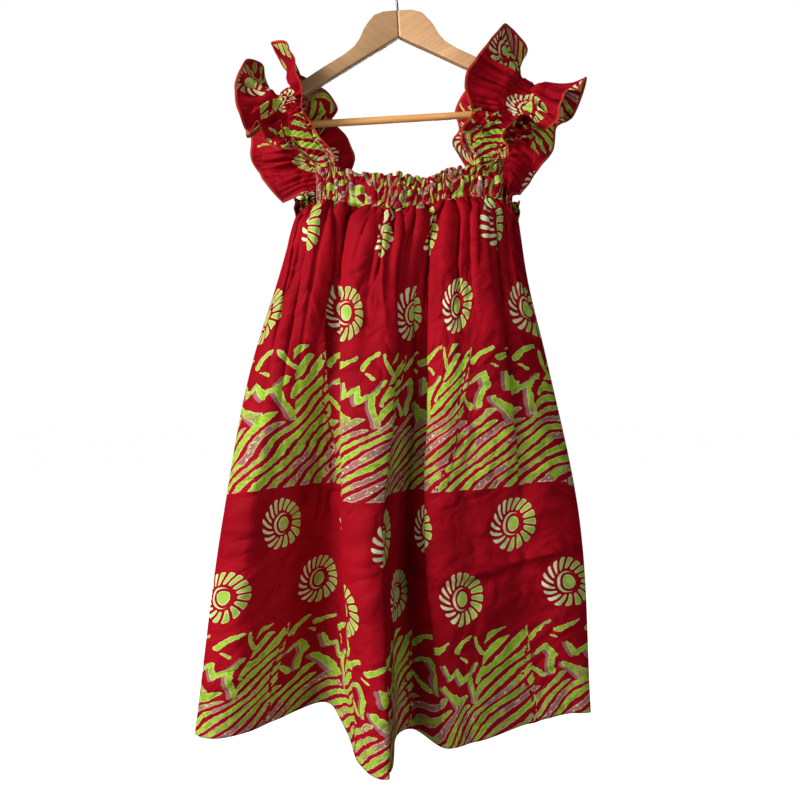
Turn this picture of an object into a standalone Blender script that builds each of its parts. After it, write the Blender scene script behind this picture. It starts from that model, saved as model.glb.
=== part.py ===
"""A sleeveless cotton dress on a wooden hanger.

The dress hangs by two ruffled straps from the arms of the hanger. Metres, +Z up, the front faces -Y,
and the origin is the inside top of the hanger's hook. Left and right are as seen from the front.
"""

import math

import bpy
import numpy as np
from mathutils import Matrix, Vector

MM = 0.001
OBJECT_NAME = "ruffle_strap_dress"

# Cloth
CLOTH_WALL = 0.0012
CASING_WALL = 0.0020
SEAM_GAP = 0.00035
SEAM_LIP = 0.0035

# Hanger
ROLL = math.radians(3.4)
HANGER_DROP = 0.1017
ARM_WALL = 0.012
ARM_BEVEL = 0.0025
ARM_FORWARD = 0.008
ARM_REACH = 0.224
JOINT_GAP = 0.0003
BAR_RADIUS = 0.005
BAR_HALF = 0.2110
BAR_DROP = 0.1300
BAR_FORWARD = 0.0066
BORE_GAP = 0.0003
WIRE_RADIUS = 0.0017
BEND_RADIUS = 0.0205
SHANK_BOTTOM = -0.0890

# Gathers and folds
GATHER_STEP = 3
GATHER = 0.0030
GATHER_REACH = 0.07
SOFT_FOLD = 0.0040
FRONT_COLUMNS = 84
CASING_FIRST = 9
CASING_LAST = 78
BACK_COLUMNS = 60
BACK_SIDE = 0.40
BACK_FOLDS = 7
STRAP_STEPS = 3
CHANNEL_HALF = 0.0085
CHANNEL_RIPPLE = 0.0012
RUFFLE_LEAD = 0.30
ARM_SLOPE = math.radians(33.5)
LANDING = (0.0, 0.08, 0.16, 0.24, 0.50, 0.76, 0.84, 0.92, 1.0)

# Heights of the five measured levels, as shares of the way from the top edge to the hem
LEVELS = (0.0, 0.10, 0.27, 0.57, 1.0)
HEIGHTS = (0.0, 0.04, 0.09, 0.16, 0.25, 0.36, 0.48, 0.61, 0.74, 0.87, 1.0)

# The front panel, a row for each fold line from the left side seam to the right one, in mm.
# name, share of the cloth's width, x y z at the top edge,
# x y below the gathers, x y at the chest, x y at the hip, x y z at the hem
FRONT_FOLDS = (
    ("left_seam", 0.0, -141, 0, -371, -162, 2, -202, 5, -246, 10, -293, 30, -1119),
    ("left_edge", 0.08, -116, -22, -359, -135, -28, -164, -35, -202, -30, -242, 0, -1113),
    ("left_face", 0.162, -91, -32, -355, -106, -34, -130, -34, -149, 0, -179, 45, -1110),
    ("valley", 0.262, -64, -34, -361, -72, -28, -79, -18, -83, 30, -99, 82, -1102),
    ("pleat_left", 0.345, -30, -40, -367, -50, -46, -59, -54, -58, -68, -49, -50, -1117),
    ("pleat_right", 0.45, 3, -42, -369, -10, -50, -8, -60, -16, -78, -2, -88, -1115),
    ("pleat_back", 0.535, 26, -38, -365, 7, -40, 5, -34, 2, -12, 4, 10, -1114),
    ("recess", 0.59, 45, -37, -362, 30, -35, 29, -20, 29, -2, 26, 25, -1112),
    ("second_edge", 0.675, 70, -40, -358, 64, -44, 62, -46, 53, -45, 70, -30, -1111),
    ("second_face", 0.755, 94, -38, -353, 94, -44, 103, -50, 111, -40, 116, -15, -1111),
    ("third_edge", 0.86, 128, -34, -352, 133, -36, 154, -35, 176, -20, 201, 30, -1105),
    ("right_edge", 0.945, 155, -22, -356, 168, -18, 199, -10, 237, 0, 260, 37, -1096),
    ("right_seam", 1.0, 177, 0, -377, 189, 6, 221, 20, 269, 30, 294, 50, -1098),
)

# The back panel at the four levels, in mm: how far it stands behind the side seams, and its soft folds
# level, depth, fold
BACK_LEVELS = (
    (0.0, 38, 0.0),
    (0.27, 60, 5.0),
    (0.57, 78, 9.0),
    (1.0, 92, 13.0),
)

# The front casing's height along the neck, in mm: share of the cloth's width, height
CASING_HEIGHTS = (
    (0.107, 43),
    (0.22, 46),
    (0.46, 44),
    (0.60, 34),
    (0.67, 38),
    (0.765, 41),
    (0.929, 46),
)

# A casing's section from its lower seam up, in mm: share of its height, bulge, size of its gathers
CASING_SECTION = (
    (0.0, 0.0, 3.0),
    (0.14, 0.1, 2.7),
    (0.30, 1.4, 1.8),
    (0.50, 2.2, 1.8),
    (0.70, 0.6, 1.4),
    (0.86, 1.8, 2.6),
    (1.0, 2.0, 2.8),
)
BACK_CASING_HEIGHT = 0.032

# The straps, a row for each section from the front casing over the hanger's arm to the back one, in mm:
# x y z of the elastic channel, of the outer ruffle's edge and of the inner ruffle's edge
LEFT_STRAP = (
    (-95, -34, -308, -113, -36, -304, -77, -36, -307),
    (-103, -36, -295, -123, -44, -296, -83, -42, -293),
    (-118, -38, -280, -138, -42, -286, -98, -44, -274),
    (-128, -36, -263, -153, -56, -293, -110, -50, -261),
    (-136, -32, -248, -174, -42, -279, -118, -50, -247),
    (-143, -28, -232, -182, -62, -257, -122, -60, -238),
    (-148, -23, -217, -201, -34, -262, -124, -52, -221),
    (-151, -21, -202, -215, -42, -230, -130, -50, -193),
    (-156, -4, -191, -222, -22, -186, -147, -32, -139),
    (-157, 12, -187, -212, 2, -142, -174, -10, -125),
    (-154, 18, -198, -195, 30, -138, -163, 30, -138),
    (-150, 23, -210, -201, 55, -165, -137, 42, -148),
    (-145, 29, -222, -215, 50, -197, -96, 34, -177),
    (-140, 32, -237, -217, 66, -217, -87, 56, -191),
    (-134, 34, -254, -217, 46, -259, -92, 40, -213),
    (-128, 36, -273, -211, 60, -278, -73, 62, -231),
    (-124, 36, -293, -189, 44, -312, -60, 48, -262),
    (-120, 36, -316, -168, 50, -334, -65, 56, -282),
    (-115, 36, -338, -145, 38, -358, -84, 40, -331),
)
RIGHT_STRAP = (
    (128, -34, -304, 154, -36, -304, 99, -36, -300),
    (132, -37, -295, 156, -50, -300, 91, -48, -283),
    (136, -38, -283, 151, -64, -289, 91, -42, -265),
    (142, -38, -269, 141, -92, -283, 94, -56, -259),
    (151, -38, -254, 156, -88, -266, 105, -46, -240),
    (158, -36, -241, 175, -80, -257, 102, -60, -230),
    (166, -31, -226, 200, -56, -267, 95, -46, -206),
    (172, -26, -213, 216, -68, -260, 98, -60, -190),
    (180, -22, -193, 232, -46, -215, 117, -44, -156),
    (190, -4, -177, 253, -30, -201, 139, -30, -124),
    (192, 12, -173, 275, -2, -172, 160, -6, -96),
    (188, 18, -186, 265, 16, -209, 192, 14, -123),
    (184, 23, -198, 258, 40, -215, 169, 40, -142),
    (179, 29, -210, 239, 34, -228, 130, 62, -143),
    (173, 32, -227, 241, 56, -252, 103, 48, -168),
    (168, 34, -247, 219, 44, -280, 92, 60, -193),
    (162, 36, -270, 209, 62, -295, 96, 44, -226),
    (158, 36, -295, 188, 46, -323, 88, 54, -247),
    (153, 36, -333, 173, 40, -344, 124, 40, -326),
)

# One arm of the hanger, a row for each section, in mm: x, top and bottom against the arm's inner end
ARM_SECTIONS = (
    (0.0, 26.0, -11.3),
    (20.0, 25.5, -22.5),
    (34.0, 21.0, -29.7),
    (42.0, 12.0, -34.0),
    (48.6, 3.7, -37.6),
    (56.0, -11.0, -41.6),
    (64.3, -21.7, -46.2),
    (80.0, -33.0, -54.8),
    (107.0, -47.7, -69.5),
    (143.0, -69.0, -90.0),
    (180.0, -93.5, -113.5),
    (205.0, -112.0, -133.0),
    (219.0, -124.0, -142.5),
    (224.0, -130.0, -143.0),
)

# The hook's shank and neck bend in mm: x, z
HOOK_NECK = (
    (0.0, -52.0),
    (2.2, -45.0),
    (8.5, -38.0),
    (16.0, -30.0),
)
HOOK_END = math.radians(205)

CLOTH_RED = (0.38, 0.006, 0.022, 1.0)
CLOTH_GREEN = (0.24, 0.42, 0.05, 1.0)
WOOD = (0.55, 0.36, 0.20, 1.0)
BAR_WOOD = (0.55, 0.27, 0.08, 1.0)
STEEL = (0.60, 0.60, 0.62, 1.0)


# ---------------------------------------------------------------- curves and meshes


def curve(stations, values, t, start=None, end=None):
    """The smooth curve through values at rising stations; start and end are its end slopes."""
    p = np.asarray(values, float)
    s = np.asarray(stations, float)
    last = len(s) - 1
    i = int(np.clip(np.searchsorted(s, t, side="right") - 1, 0, last - 1))
    step = s[i + 1] - s[i]
    f = (t - s[i]) / step

    def slope(k):
        if k == 0:
            return (p[1] - p[0]) / (s[1] - s[0]) if start is None else start
        if k == last:
            return (p[last] - p[last - 1]) / (s[last] - s[last - 1]) if end is None else end
        before, after = s[k] - s[k - 1], s[k + 1] - s[k]
        rise = (p[k] - p[k - 1]) / before * after + (p[k + 1] - p[k]) / after * before
        return rise / (before + after)

    a, b = slope(i) * step, slope(i + 1) * step
    return (
        (2 * f**3 - 3 * f**2 + 1) * p[i]
        + (f**3 - 2 * f**2 + f) * a
        + (3 * f**2 - 2 * f**3) * p[i + 1]
        + (f**3 - f**2) * b
    )


def column(table, *places):
    """The named places of every row of a table, as an array."""
    return np.array([[row[k] for k in places] for row in table], float)


def add_object(name, vertices, faces, material, collection):
    mesh = bpy.data.meshes.new(name)
    mesh.from_pydata([tuple(v) for v in vertices], [], faces)
    mesh.update()
    if material is not None:
        mesh.materials.append(material)
    item = bpy.data.objects.new(name, mesh)
    collection.objects.link(item)
    return item


def wall(name, grid, thickness, material, collection):
    """A cloth wall about a grid of points, rows down and columns to the right as seen from outside."""
    rows, columns = grid.shape[:2]
    faces = []
    for r in range(rows - 1):
        for c in range(columns - 1):
            a = r * columns + c
            faces.append((a, a + columns, a + columns + 1, a + 1))
    item = add_object(name, grid.reshape(-1, 3), faces, material, collection)
    solidify = item.modifiers.new("cloth", "SOLIDIFY")
    solidify.thickness = thickness
    solidify.offset = 0.0
    solidify.use_even_offset = False
    solidify.use_rim = True
    return item


def loft(name, rings, material, collection):
    """A closed solid through rings of points, each seen anticlockwise from the last ring."""
    sides = len(rings[0])
    faces = [tuple(reversed(range(sides)))]
    for r in range(len(rings) - 1):
        for k in range(sides):
            a, b = r * sides + k, r * sides + (k + 1) % sides
            faces.append((a, b, b + sides, a + sides))
    top = (len(rings) - 1) * sides
    faces.append(tuple(range(top, top + sides)))
    return add_object(name, [p for ring in rings for p in ring], faces, material, collection)


def flat_normals(points):
    """Level normals of a row of points, to the left of its run seen from above, as (n, 3)."""
    run = np.gradient(points[:, :2], axis=0)
    run /= np.maximum(np.linalg.norm(run, axis=1, keepdims=True), 1e-9)
    return np.stack((-run[:, 1], run[:, 0], np.zeros(len(run))), axis=1)


def gather(columns):
    """One gather every few columns, fading at the side seams."""
    k = np.arange(columns + 1)
    wave = np.sin(2 * math.pi * k / GATHER_STEP + 0.3)
    ends = np.clip(np.minimum(k, columns - k) / 4.0, 0, 1)
    return wave * ends


# ---------------------------------------------------------------- the dress


def front_fold_lines(height):
    """Where the front's fold lines are at a height from 0, the top edge, to 1, the hem."""
    places = ((2, 3), (5, 6), (7, 8), (9, 10), (11, 12))
    level = curve(LEVELS, [column(FRONT_FOLDS, *pair) for pair in places], height)
    z = column(FRONT_FOLDS, 4) * (1 - height) + column(FRONT_FOLDS, 13) * height
    return np.hstack((level, z)) * MM


def front_row(height, columns=FRONT_COLUMNS, gathered=True):
    """A row of points across the front panel."""
    lines = front_fold_lines(height)
    shares = column(FRONT_FOLDS, 1)[:, 0]
    first = np.linalg.norm(lines[1] - lines[0]) / shares[1]
    final = np.linalg.norm(lines[-1] - lines[-2]) / (1 - shares[-2])
    start, end = np.array((0.0, -first, 0.0)), np.array((0.0, final, 0.0))
    steps = np.linspace(0, 1, columns + 1)
    row = np.array([curve(shares, lines, t, start, end) for t in steps])
    if gathered:
        size = GATHER * math.exp(-height / GATHER_REACH)
        soft = SOFT_FOLD * height / 0.12 * math.exp(1 - height / 0.12)
        folds = np.sin(2 * math.pi * 9.5 * steps + 0.8) * np.sin(math.pi * steps)
        row = row - flat_normals(row) * (size * gather(columns) + soft * folds)[:, None]
    row[1] = row[0] - (0, SEAM_LIP, 0)
    row[-2] = row[-1] - (0, SEAM_LIP, 0)
    return row


def side_seams(height):
    """The left and right side seams at a height."""
    lines = front_fold_lines(height)
    return lines[0], lines[-1]


def back_row(height, columns=BACK_COLUMNS):
    """A row of points across the back panel, from the right side seam to the left one."""
    left, right = side_seams(height)
    levels = column(BACK_LEVELS, 0)[:, 0]
    depth, fold = curve(levels, column(BACK_LEVELS, 1, 2), height) * MM
    t = np.linspace(0, 1, columns + 1)
    across = (1 - BACK_SIDE) * t + BACK_SIDE * (1 - np.cos(math.pi * t)) / 2
    bulge = np.sin(math.pi * t) ** 0.55
    row = right + (left - right) * across[:, None]
    row[:, 1] += depth * bulge + fold * np.cos(2 * math.pi * BACK_FOLDS * t) * np.sin(math.pi * t)
    row[:, 1] += SEAM_GAP
    lift = 0.016 * (1 - height) * np.sin(math.pi * t)
    row[:, 2] += lift
    size = GATHER * math.exp(-height / GATHER_REACH)
    row = row - flat_normals(row) * (size * gather(columns))[:, None]
    row[1] = row[0] + (0, SEAM_LIP, 0)
    row[-2] = row[-1] + (0, SEAM_LIP, 0)
    return row


def casing_grid(lower, plain, ripple, heights):
    """A casing standing on a panel's top edge: lower is that edge, plain the same without gathers."""
    out = -flat_normals(plain)
    rows = []
    for share, bulge, size in reversed(CASING_SECTION):
        offset = bulge * MM + size * MM * ripple
        row = plain + out * offset[:, None]
        row[:, 2] = lower[:, 2] + SEAM_GAP + share * heights
        rows.append(row)
    return np.array(rows)


def front_casing_grid():
    plain = front_row(0.0, gathered=False)
    lower = front_row(0.0)
    span = slice(CASING_FIRST, CASING_LAST + 1)
    shares = np.linspace(0, 1, FRONT_COLUMNS + 1)[span]
    table = column(CASING_HEIGHTS, 0, 1)
    heights = np.interp(shares, table[:, 0], table[:, 1]) * MM
    return casing_grid(lower[span], plain[span], gather(FRONT_COLUMNS)[span], heights)


def back_casing_grid():
    lower = back_row(0.0)
    ripple = gather(BACK_COLUMNS)
    plain = lower + flat_normals(lower) * (GATHER * ripple)[:, None]
    heights = np.full(BACK_COLUMNS + 1, BACK_CASING_HEIGHT)
    return casing_grid(lower, plain, ripple, heights)


def ruffle(base, edge, across, shares):
    """Points from the channel's side to a ruffle's free edge, leaving along the cloth first."""
    reach = np.linalg.norm(edge - base)
    lead = base + across * reach * RUFFLE_LEAD
    return [base * (1 - s) ** 2 + lead * 2 * s * (1 - s) + edge * s * s for s in shares]


def strap_grid(table, side, front_edge, back_edge):
    """A ruffled strap over the arm on one side, from the front casing's top edge to the back one's."""
    data = np.array(table, float) * MM
    sections = np.arange(len(data))
    rows = []
    steps = (len(data) - 1) * STRAP_STEPS
    tilt = ARM_SLOPE - side * ROLL
    for k in range(3, steps - 2):
        t = k / STRAP_STEPS
        point = curve(sections, data, t)
        ahead = curve(sections, data, min(t + 0.05, sections[-1]))
        behind = curve(sections, data, max(t - 0.05, 0))
        centre, outer, inner = point[:3], point[3:6], point[6:]
        run = ahead[:3] - behind[:3]
        run /= np.linalg.norm(run)
        slope = tilt * min(1.0, 4 * k / steps, 4 * (steps - k) / steps)
        across = np.array((side * math.cos(slope), 0.0, -math.sin(slope)))
        across -= run * np.dot(across, run)
        across /= np.linalg.norm(across)
        out = np.cross(run, across)
        ripple = CHANNEL_RIPPLE * math.sin(2 * math.pi * k / GATHER_STEP) * math.sin(math.pi * k / steps)
        middle = centre + out * ripple
        near, far = middle - across * CHANNEL_HALF, middle + across * CHANNEL_HALF
        row = ruffle(near, inner, -across, (1.0, 0.7, 0.35, 0.0))
        row += [middle]
        row += ruffle(far, outer, across, (0.0, 0.35, 0.7, 1.0))
        rows.append(row)
    lip = (0, 0, SEAM_LIP)
    return np.array([front_edge, front_edge + lip] + rows + [back_edge + lip, back_edge])


def landing(points, first, last):
    """Where a strap's columns land on part of a row, first and last counted in columns."""
    at = first + (last - first) * np.array(LANDING)
    k = np.arange(len(points))
    return np.stack([np.interp(at, k, points[:, axis]) for axis in range(3)], axis=1)


# ---------------------------------------------------------------- the hanger


def hang(points):
    """Hanger points turned about the inside top of the hook."""
    turn = Matrix.Rotation(-ROLL, 3, "Y")
    return [turn @ Vector(p) for p in points]


def arm_ring(x, top, bottom, side):
    """The chamfered section of an arm."""
    half = ARM_WALL / 2
    middle = -ARM_FORWARD * (x / ARM_REACH) ** 2
    bevel = min(ARM_BEVEL, (top - bottom) / 4)
    z_top, z_bottom = top - HANGER_DROP, bottom - HANGER_DROP
    ring = [
        (middle - half, z_bottom + bevel),
        (middle - half + bevel, z_bottom),
        (middle + half - bevel, z_bottom),
        (middle + half, z_bottom + bevel),
        (middle + half, z_top - bevel),
        (middle + half - bevel, z_top),
        (middle - half + bevel, z_top),
        (middle - half, z_top - bevel),
    ]
    points = hang([(side * (x + JOINT_GAP / 2), y, z) for y, z in ring])
    return points if side > 0 else points[::-1]


def tube_rings(path, radius, sides):
    """Rings about a path in the hanger's plane."""
    rings = []
    for k, point in enumerate(path):
        run = path[min(k + 1, len(path) - 1)] - path[max(k - 1, 0)]
        run.normalize()
        side = Vector((0, 1, 0))
        up = run.cross(side)
        ring = []
        for n in range(sides):
            a = 2 * math.pi * n / sides
            ring.append(point + side * (radius * math.cos(a)) + up * (radius * math.sin(a)))
        rings.append(hang(ring))
    return rings


def hook_path():
    """Up the shank, round the bend and down to the open end."""
    centre = WIRE_RADIUS - BEND_RADIUS
    path = [Vector((0, 0, SHANK_BOTTOM)), Vector((0, 0, -0.070))]
    path += [Vector((x * MM, 0, z * MM)) for x, z in HOOK_NECK]
    for k in range(17):
        a = HOOK_END * k / 16
        path.append(Vector((BEND_RADIUS * math.cos(a), 0, centre + BEND_RADIUS * math.sin(a))))
    return path


def bore(name, radius, start, end, cutters):
    """A cutter for a round hole between two points."""
    item = loft(name, tube_rings([Vector(start), Vector(end)], radius, 16), None, cutters)
    item.hide_render = True
    item.display_type = "WIRE"
    return item


def cut(item, cutter):
    boolean = item.modifiers.new("bore", "BOOLEAN")
    boolean.operation = "DIFFERENCE"
    boolean.solver = "EXACT"
    boolean.object = cutter


# ---------------------------------------------------------------- building


def material(name, colour, roughness, metallic=0.0):
    made = bpy.data.materials.new(name)
    made.use_nodes = True
    shader = made.node_tree.nodes["Principled BSDF"]
    shader.inputs["Base Color"].default_value = colour
    shader.inputs["Roughness"].default_value = roughness
    shader.inputs["Metallic"].default_value = metallic
    return made


def build():
    for item in list(bpy.data.objects):
        bpy.data.objects.remove(item, do_unlink=True)
    parts = bpy.data.collections.new(OBJECT_NAME)
    cutters = bpy.data.collections.new(OBJECT_NAME + "_cutters")
    bpy.context.scene.collection.children.link(parts)
    bpy.context.scene.collection.children.link(cutters)
    cutters.hide_render = True

    front = np.array([front_row(h) for h in HEIGHTS])
    back = np.array([back_row(h) for h in HEIGHTS])
    wall("front_panel", front, CLOTH_WALL, material("front_cloth", CLOTH_RED, 0.8), parts)
    wall("back_panel", back, CLOTH_WALL, material("back_cloth", CLOTH_RED, 0.8), parts)

    front_band, back_band = front_casing_grid(), back_casing_grid()
    wall("front_casing", front_band, CASING_WALL, material("front_band", CLOTH_GREEN, 0.8), parts)
    wall("back_casing", back_band, CASING_WALL, material("back_band", CLOTH_GREEN, 0.8), parts)

    up = np.array((0, 0, SEAM_GAP))
    front_top, back_top = front_band[0] + up, back_band[0] + up
    last = len(front_top) - 1
    left_ends = (landing(front_top, 8, 0), landing(back_top, 48, 57))
    right_ends = (landing(front_top, last - 10, last), landing(back_top, 12, 3))
    for name, table, side, ends in (
        ("strap_left", LEFT_STRAP, -1, left_ends),
        ("strap_right", RIGHT_STRAP, 1, right_ends),
    ):
        grid = strap_grid(table, side, ends[0], ends[1])
        wall(name, grid, CLOTH_WALL, material(name + "_cloth", CLOTH_RED, 0.8), parts)

    hook_bore = bore("hook_bore", WIRE_RADIUS + BORE_GAP, (0, 0, SHANK_BOTTOM - 0.001), (0, 0, -0.06), cutters)
    reach = BAR_HALF + BORE_GAP
    bar_z = -HANGER_DROP - BAR_DROP
    bar_bore = bore(
        "bar_bore", BAR_RADIUS + BORE_GAP, (-reach, -BAR_FORWARD, bar_z), (reach, -BAR_FORWARD, bar_z), cutters
    )
    for name, side in (("hanger_arm_left", -1), ("hanger_arm_right", 1)):
        rings = [arm_ring(x * MM, top * MM, bottom * MM, side) for x, top, bottom in ARM_SECTIONS]
        arm = loft(name, rings, material(name + "_wood", WOOD, 0.5), parts)
        cut(arm, hook_bore)
        cut(arm, bar_bore)
    path = [Vector((-BAR_HALF, -BAR_FORWARD, bar_z)), Vector((BAR_HALF, -BAR_FORWARD, bar_z))]
    loft("hanger_bar", tube_rings(path, BAR_RADIUS, 16), material("bar_wood", BAR_WOOD, 0.45), parts)
    loft("hanger_hook", tube_rings(hook_path(), WIRE_RADIUS, 8), material("hook_steel", STEEL, 0.3, 1.0), parts)


build()
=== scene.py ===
"""A sleeveless cotton dress in a wax print, on a wooden hanger.

The dress is gathered into a casing across the front and the back, and hangs by two ruffled straps.
Metres, +Z up, the front faces -Y, the origin is the inside top of the hanger's hook.
Left and right are as seen from the front.
"""

import math

import bpy
import numpy as np
from mathutils import Matrix, Vector


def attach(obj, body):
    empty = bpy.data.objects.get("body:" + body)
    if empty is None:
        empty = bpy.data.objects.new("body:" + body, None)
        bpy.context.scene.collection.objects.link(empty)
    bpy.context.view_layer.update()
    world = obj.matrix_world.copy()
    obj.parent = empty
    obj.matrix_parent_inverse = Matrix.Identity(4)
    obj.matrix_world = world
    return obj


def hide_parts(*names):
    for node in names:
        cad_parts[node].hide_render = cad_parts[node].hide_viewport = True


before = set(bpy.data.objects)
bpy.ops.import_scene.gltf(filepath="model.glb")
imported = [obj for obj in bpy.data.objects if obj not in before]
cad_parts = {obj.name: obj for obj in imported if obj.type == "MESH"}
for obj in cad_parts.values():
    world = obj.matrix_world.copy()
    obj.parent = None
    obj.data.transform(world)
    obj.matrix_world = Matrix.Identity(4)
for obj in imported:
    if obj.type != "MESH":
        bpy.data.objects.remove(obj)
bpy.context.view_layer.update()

bl_info = {
    "name": "Wax print dress",
    "version": (1, 0, 0),
    "blender": (4, 5, 0),
    "location": "View3D > Sidebar > Dress",
    "description": "Makes a ruffle strap dress in a wax print, on its wooden hanger",
    "category": "Add Mesh",
}

MM = 0.001

# Heights of the five levels of the fold lines, as shares of the way from the top edge to the hem
LEVELS = (0.0, 0.10, 0.27, 0.57, 1.0)

# The front panel, a row for each fold line from the left side seam to the right one, in mm.
# name, share of the cloth's width, x y z at the top edge,
# x y below the gathers, x y at the chest, x y at the hip, x y z at the hem
FRONT_FOLDS = (
    ("left_seam", 0.0, -141, 0, -371, -162, 2, -202, 5, -246, 10, -293, 30, -1119),
    ("left_edge", 0.08, -116, -22, -359, -135, -28, -164, -35, -202, -30, -242, 0, -1113),
    ("left_face", 0.162, -91, -32, -355, -106, -34, -130, -34, -149, 0, -179, 45, -1110),
    ("valley", 0.262, -64, -34, -361, -72, -28, -79, -18, -83, 30, -99, 82, -1102),
    ("pleat_left", 0.345, -30, -40, -367, -50, -46, -59, -54, -58, -68, -49, -50, -1117),
    ("pleat_right", 0.45, 3, -42, -369, -10, -50, -8, -60, -16, -78, -2, -88, -1115),
    ("pleat_back", 0.535, 26, -38, -365, 7, -40, 5, -34, 2, -12, 4, 10, -1114),
    ("recess", 0.59, 45, -37, -362, 30, -35, 29, -20, 29, -2, 26, 25, -1112),
    ("second_edge", 0.675, 70, -40, -358, 64, -44, 62, -46, 53, -45, 70, -30, -1111),
    ("second_face", 0.755, 94, -38, -353, 94, -44, 103, -50, 111, -40, 116, -15, -1111),
    ("third_edge", 0.86, 128, -34, -352, 133, -36, 154, -35, 176, -20, 201, 30, -1105),
    ("right_edge", 0.945, 155, -22, -356, 168, -18, 199, -10, 237, 0, 260, 37, -1096),
    ("right_seam", 1.0, 177, 0, -377, 189, 6, 221, 20, 269, 30, 294, 50, -1098),
)

# Where the front's fold lines lie in the flat cloth, a row for each, in mm to the right of its middle,
# at the top edge, under the gathers, at the hip and at the hem, and the heights of these four levels
FRONT_CLOTH = (
    (-272, -268, -336, -332),
    (-246, -224, -303, -284),
    (-158, -188, -246, -214),
    (-114, -138, -164, -160),
    (-104, -130, -68, -54),
    (-34, -48, -6, 14),
    (-14, -22, 50, 82),
    (20, 11, 96, 106),
    (92, 70, 147, 130),
    (128, 152, 207, 216),
    (187, 210, 268, 262),
    (240, 257, 316, 316),
    (268, 280, 340, 344),
)
CLOTH_LEVELS = (0.03, 0.195, 0.58, 1.0)

# The back panel at four levels: share of its height, how far it stands behind the side seams and how
# deep its soft folds are, in mm
BACK_LEVELS = (
    (0.0, 38, 0.0),
    (0.27, 60, 5.0),
    (0.57, 78, 9.0),
    (1.0, 92, 13.0),
)

# The front casing's height along the neck, in mm: share of the cloth's width, height
CASING_HEIGHTS = (
    (0.107, 43),
    (0.22, 46),
    (0.46, 44),
    (0.60, 34),
    (0.67, 38),
    (0.765, 41),
    (0.929, 46),
)

# A casing's section from its lower seam up: share of its height, bulge in mm
CASING_SECTION = (
    (0.0, 0.0),
    (0.14, 0.1),
    (0.30, 1.4),
    (0.50, 2.2),
    (0.70, 0.6),
    (0.86, 1.8),
    (1.0, 2.0),
)
BACK_CASING_HEIGHT = 0.032

# The straps, a row for each section from the front casing over the hanger's arm to the back one, in mm:
# x y z of the elastic channel, of the outer ruffle's edge and of the inner ruffle's edge
LEFT_STRAP = (
    (-95, -34, -308, -113, -36, -304, -77, -36, -307),
    (-103, -36, -295, -123, -44, -296, -83, -42, -293),
    (-118, -38, -280, -138, -42, -286, -98, -44, -274),
    (-128, -36, -263, -153, -56, -293, -110, -50, -261),
    (-136, -32, -248, -174, -42, -279, -118, -50, -247),
    (-143, -28, -232, -182, -62, -257, -122, -60, -238),
    (-148, -23, -217, -201, -34, -262, -124, -52, -221),
    (-151, -21, -202, -215, -42, -230, -130, -50, -193),
    (-156, -4, -191, -222, -22, -186, -147, -32, -139),
    (-157, 12, -187, -212, 2, -142, -174, -10, -125),
    (-154, 18, -198, -195, 30, -138, -163, 30, -138),
    (-150, 23, -210, -201, 55, -165, -137, 42, -148),
    (-145, 29, -222, -215, 50, -197, -96, 34, -177),
    (-140, 32, -237, -217, 66, -217, -87, 56, -191),
    (-134, 34, -254, -217, 46, -259, -92, 40, -213),
    (-128, 36, -273, -211, 60, -278, -73, 62, -231),
    (-124, 36, -293, -189, 44, -312, -60, 48, -262),
    (-120, 36, -316, -168, 50, -334, -65, 56, -282),
    (-115, 36, -338, -145, 38, -358, -84, 40, -331),
)
RIGHT_STRAP = (
    (128, -34, -304, 154, -36, -304, 99, -36, -300),
    (132, -37, -295, 156, -50, -300, 91, -48, -283),
    (136, -38, -283, 151, -64, -289, 91, -42, -265),
    (142, -38, -269, 141, -92, -283, 94, -56, -259),
    (151, -38, -254, 156, -88, -266, 105, -46, -240),
    (158, -36, -241, 175, -80, -257, 102, -60, -230),
    (166, -31, -226, 200, -56, -267, 95, -46, -206),
    (172, -26, -213, 216, -68, -260, 98, -60, -190),
    (180, -22, -193, 232, -46, -215, 117, -44, -156),
    (190, -4, -177, 253, -30, -201, 139, -30, -124),
    (192, 12, -173, 275, -2, -172, 160, -6, -96),
    (188, 18, -186, 265, 16, -209, 192, 14, -123),
    (184, 23, -198, 258, 40, -215, 169, 40, -142),
    (179, 29, -210, 239, 34, -228, 130, 62, -143),
    (173, 32, -227, 241, 56, -252, 103, 48, -168),
    (168, 34, -247, 219, 44, -280, 92, 60, -193),
    (162, 36, -270, 209, 62, -295, 96, 44, -226),
    (158, 36, -295, 188, 46, -323, 88, 54, -247),
    (153, 36, -333, 173, 40, -344, 124, 40, -326),
)

# One arm of the hanger, a row for each section, in mm: x from the middle, top and bottom against the
# arms' line
ARM_SECTIONS = (
    (0.0, 26.0, -11.3),
    (20.0, 25.5, -22.5),
    (34.0, 21.0, -29.7),
    (42.0, 12.0, -34.0),
    (48.6, 3.7, -37.6),
    (56.0, -11.0, -41.6),
    (64.3, -21.7, -46.2),
    (80.0, -33.0, -54.8),
    (107.0, -47.7, -69.5),
    (143.0, -69.0, -90.0),
    (180.0, -93.5, -113.5),
    (205.0, -112.0, -133.0),
    (219.0, -124.0, -142.5),
    (224.0, -130.0, -143.0),
)

# The hook's shank and neck bend in mm: x, z
HOOK_NECK = (
    (0.0, -52.0),
    (2.2, -45.0),
    (8.5, -38.0),
    (16.0, -30.0),
)
BEND_RADIUS = 0.0205
HOOK_END = math.radians(205)
SHANK_BOTTOM = -0.0890
SHANK_TOP = -0.070

# How far the arms reach and bend forward at their tips, and the gap where they meet
ARM_REACH = 0.224
ARM_FORWARD = 0.008
JOINT_GAP = 0.0003

# The bar, below the arms' line and before it
BAR_DROP = 0.1300
BAR_FORWARD = 0.0066

# A strap's flat width, and the level of the print at which its lean from the grain starts
STRAP_WIDTH = 0.135
STRAP_LEVEL = -0.413

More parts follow.
